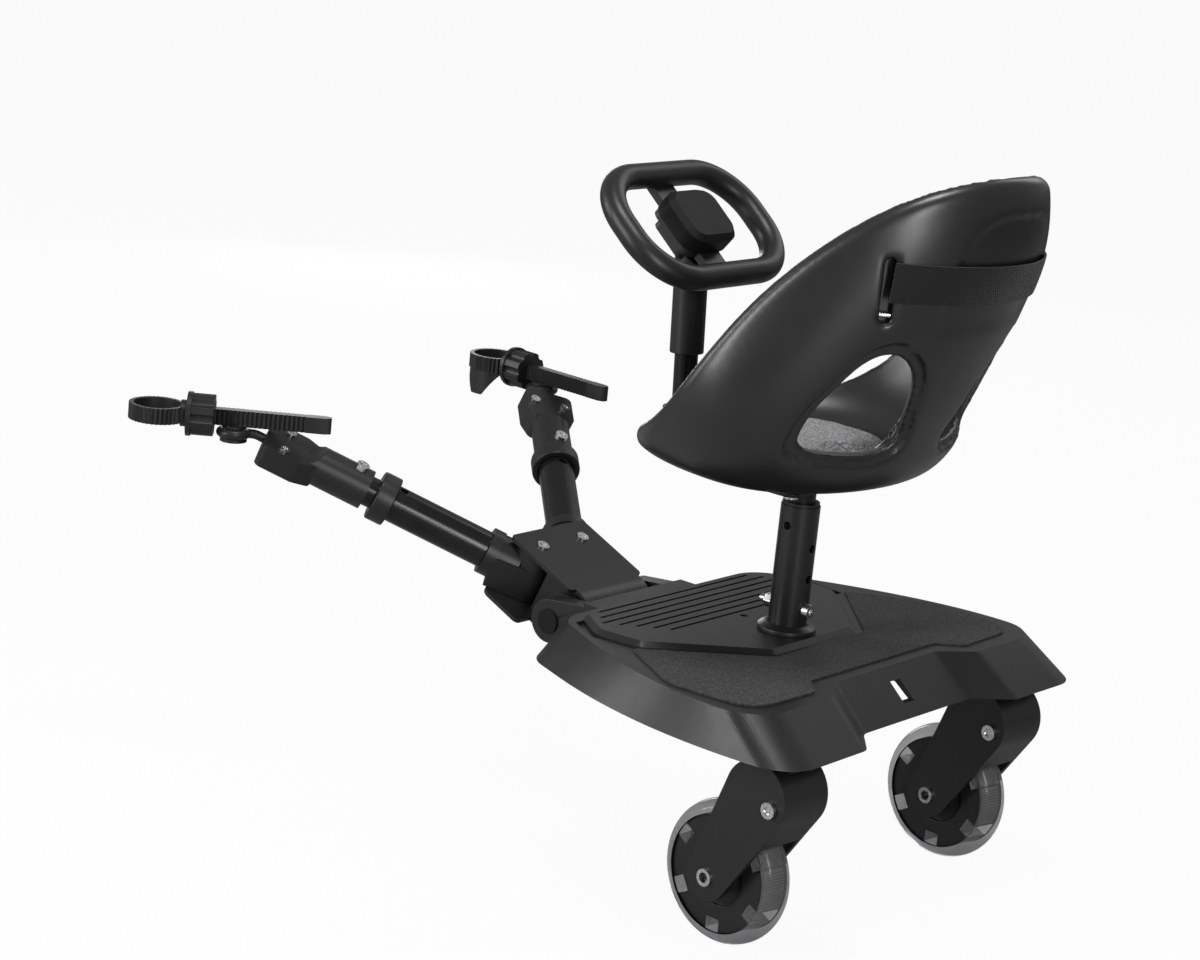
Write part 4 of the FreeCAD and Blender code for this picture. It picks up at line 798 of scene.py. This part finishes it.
def make_slot_pins():
    """Bright pins that the belt's ends are sewn round, low in each slot."""
    for side, turn in (("left", -1.0), ("right", 1.0)):
        out = Vector((turn * SLOT_OUT.x, SLOT_OUT.y, 0.0))
        slot_place = Vector((turn * SLOT_PLACE.x, SLOT_PLACE.y, SLOT_PLACE.z)) + SHIFT
        make_anchor_plate(side, out, slot_place)
        place = slot_place - Vector((0.0, 0.0, PIN_BELOW)) - out * PIN_INSIDE
        deselect()
        bpy.ops.mesh.primitive_cylinder_add(vertices=24, radius=PIN_R, depth=PIN_L, location=place,
                                            rotation=(math.radians(90.0), 0.0, math.atan2(out.y, out.x)))
        pin = bpy.context.active_object
        pin.name = side + "_slot_pin"
        bpy.ops.object.transform_apply(location=True, rotation=True, scale=True)
        finish_edges(pin, PIN_EDGE)
        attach(pin, "board")
        dress(pin, finishes["zinc"])


# The whole board

# Width of the rounding on each rigid piece's edges
BOARD_EDGES = {"hinge_base": 0.0014, "hinge_bracket": 0.0009, "cover_plate": 0.0008, "post_flange": 0.0006,
               "outer_post": 0.0004, "post_bush": 0.0004, "height_bolt": 0.0005, "height_nut": 0.0005,
               "seat_plate": 0.0006, "seat_screws": 0.0005, "column_sleeve": 0.0009, "hub_bracket": 0.0012,
               "hub_cover": 0.0018, "hinge_pin": 0.0007, "pivot_nuts": 0.0005}
SIDE_EDGES = {"arm_socket": 0.0014, "outer_tube": 0.0004, "tube_collar": 0.0012, "clamp_head": 0.002,
              "strap": 0.0004, "strap_nut": 0.0008, "caster_fork": 0.0009, "caster_head": 0.0006,
              "wheel_core": 0.0007}
# Pieces with a finish other than their slot's; the hub cover's darker colour is painted shade
OWN_FINISH = {"outer_post": "satin_post", "hub_cover": "dark_cap"}
SIDES = ("left", "right")

place_camera()
light_scene()
hang_backdrop()
lay_floor()
finishes = make_finishes()

make_seat_bucket()
make_seat_cushion()
make_back_belt()
make_slot_pins()

make_deck_moulding()
make_socket_heads("pivot_screws", 0.0021, 0.0009, 0.0003, lambda face: face.normal.dot(BRACKET_UP) > 0.99)
for side in SIDES:
    make_socket_heads(side + "_head_fasteners", 0.0018, 0.001, 0.0003, lambda face: face.normal.z > 0.75)
    make_socket_heads(side + "_pivot_bolt", 0.0026, 0.0014, 0.0005, outer_ends(side + "_pivot_bolt"))
    make_axle_with_painted_hole_shade(side)
    make_tyre(side)
for board_node, edge in BOARD_EDGES.items():
    rounded = soften(board_node, edge)
    if board_node in OWN_FINISH:
        dress(rounded, finishes[OWN_FINISH[board_node]])
for side in SIDES:
    for side_node, edge in SIDE_EDGES.items():
        soften(side + "_" + side_node, edge)

for node_name, node in nodes.items():
    slot = node_slot[node_name]
    node.data.materials.clear()
    node.data.materials.append(finishes[slot])
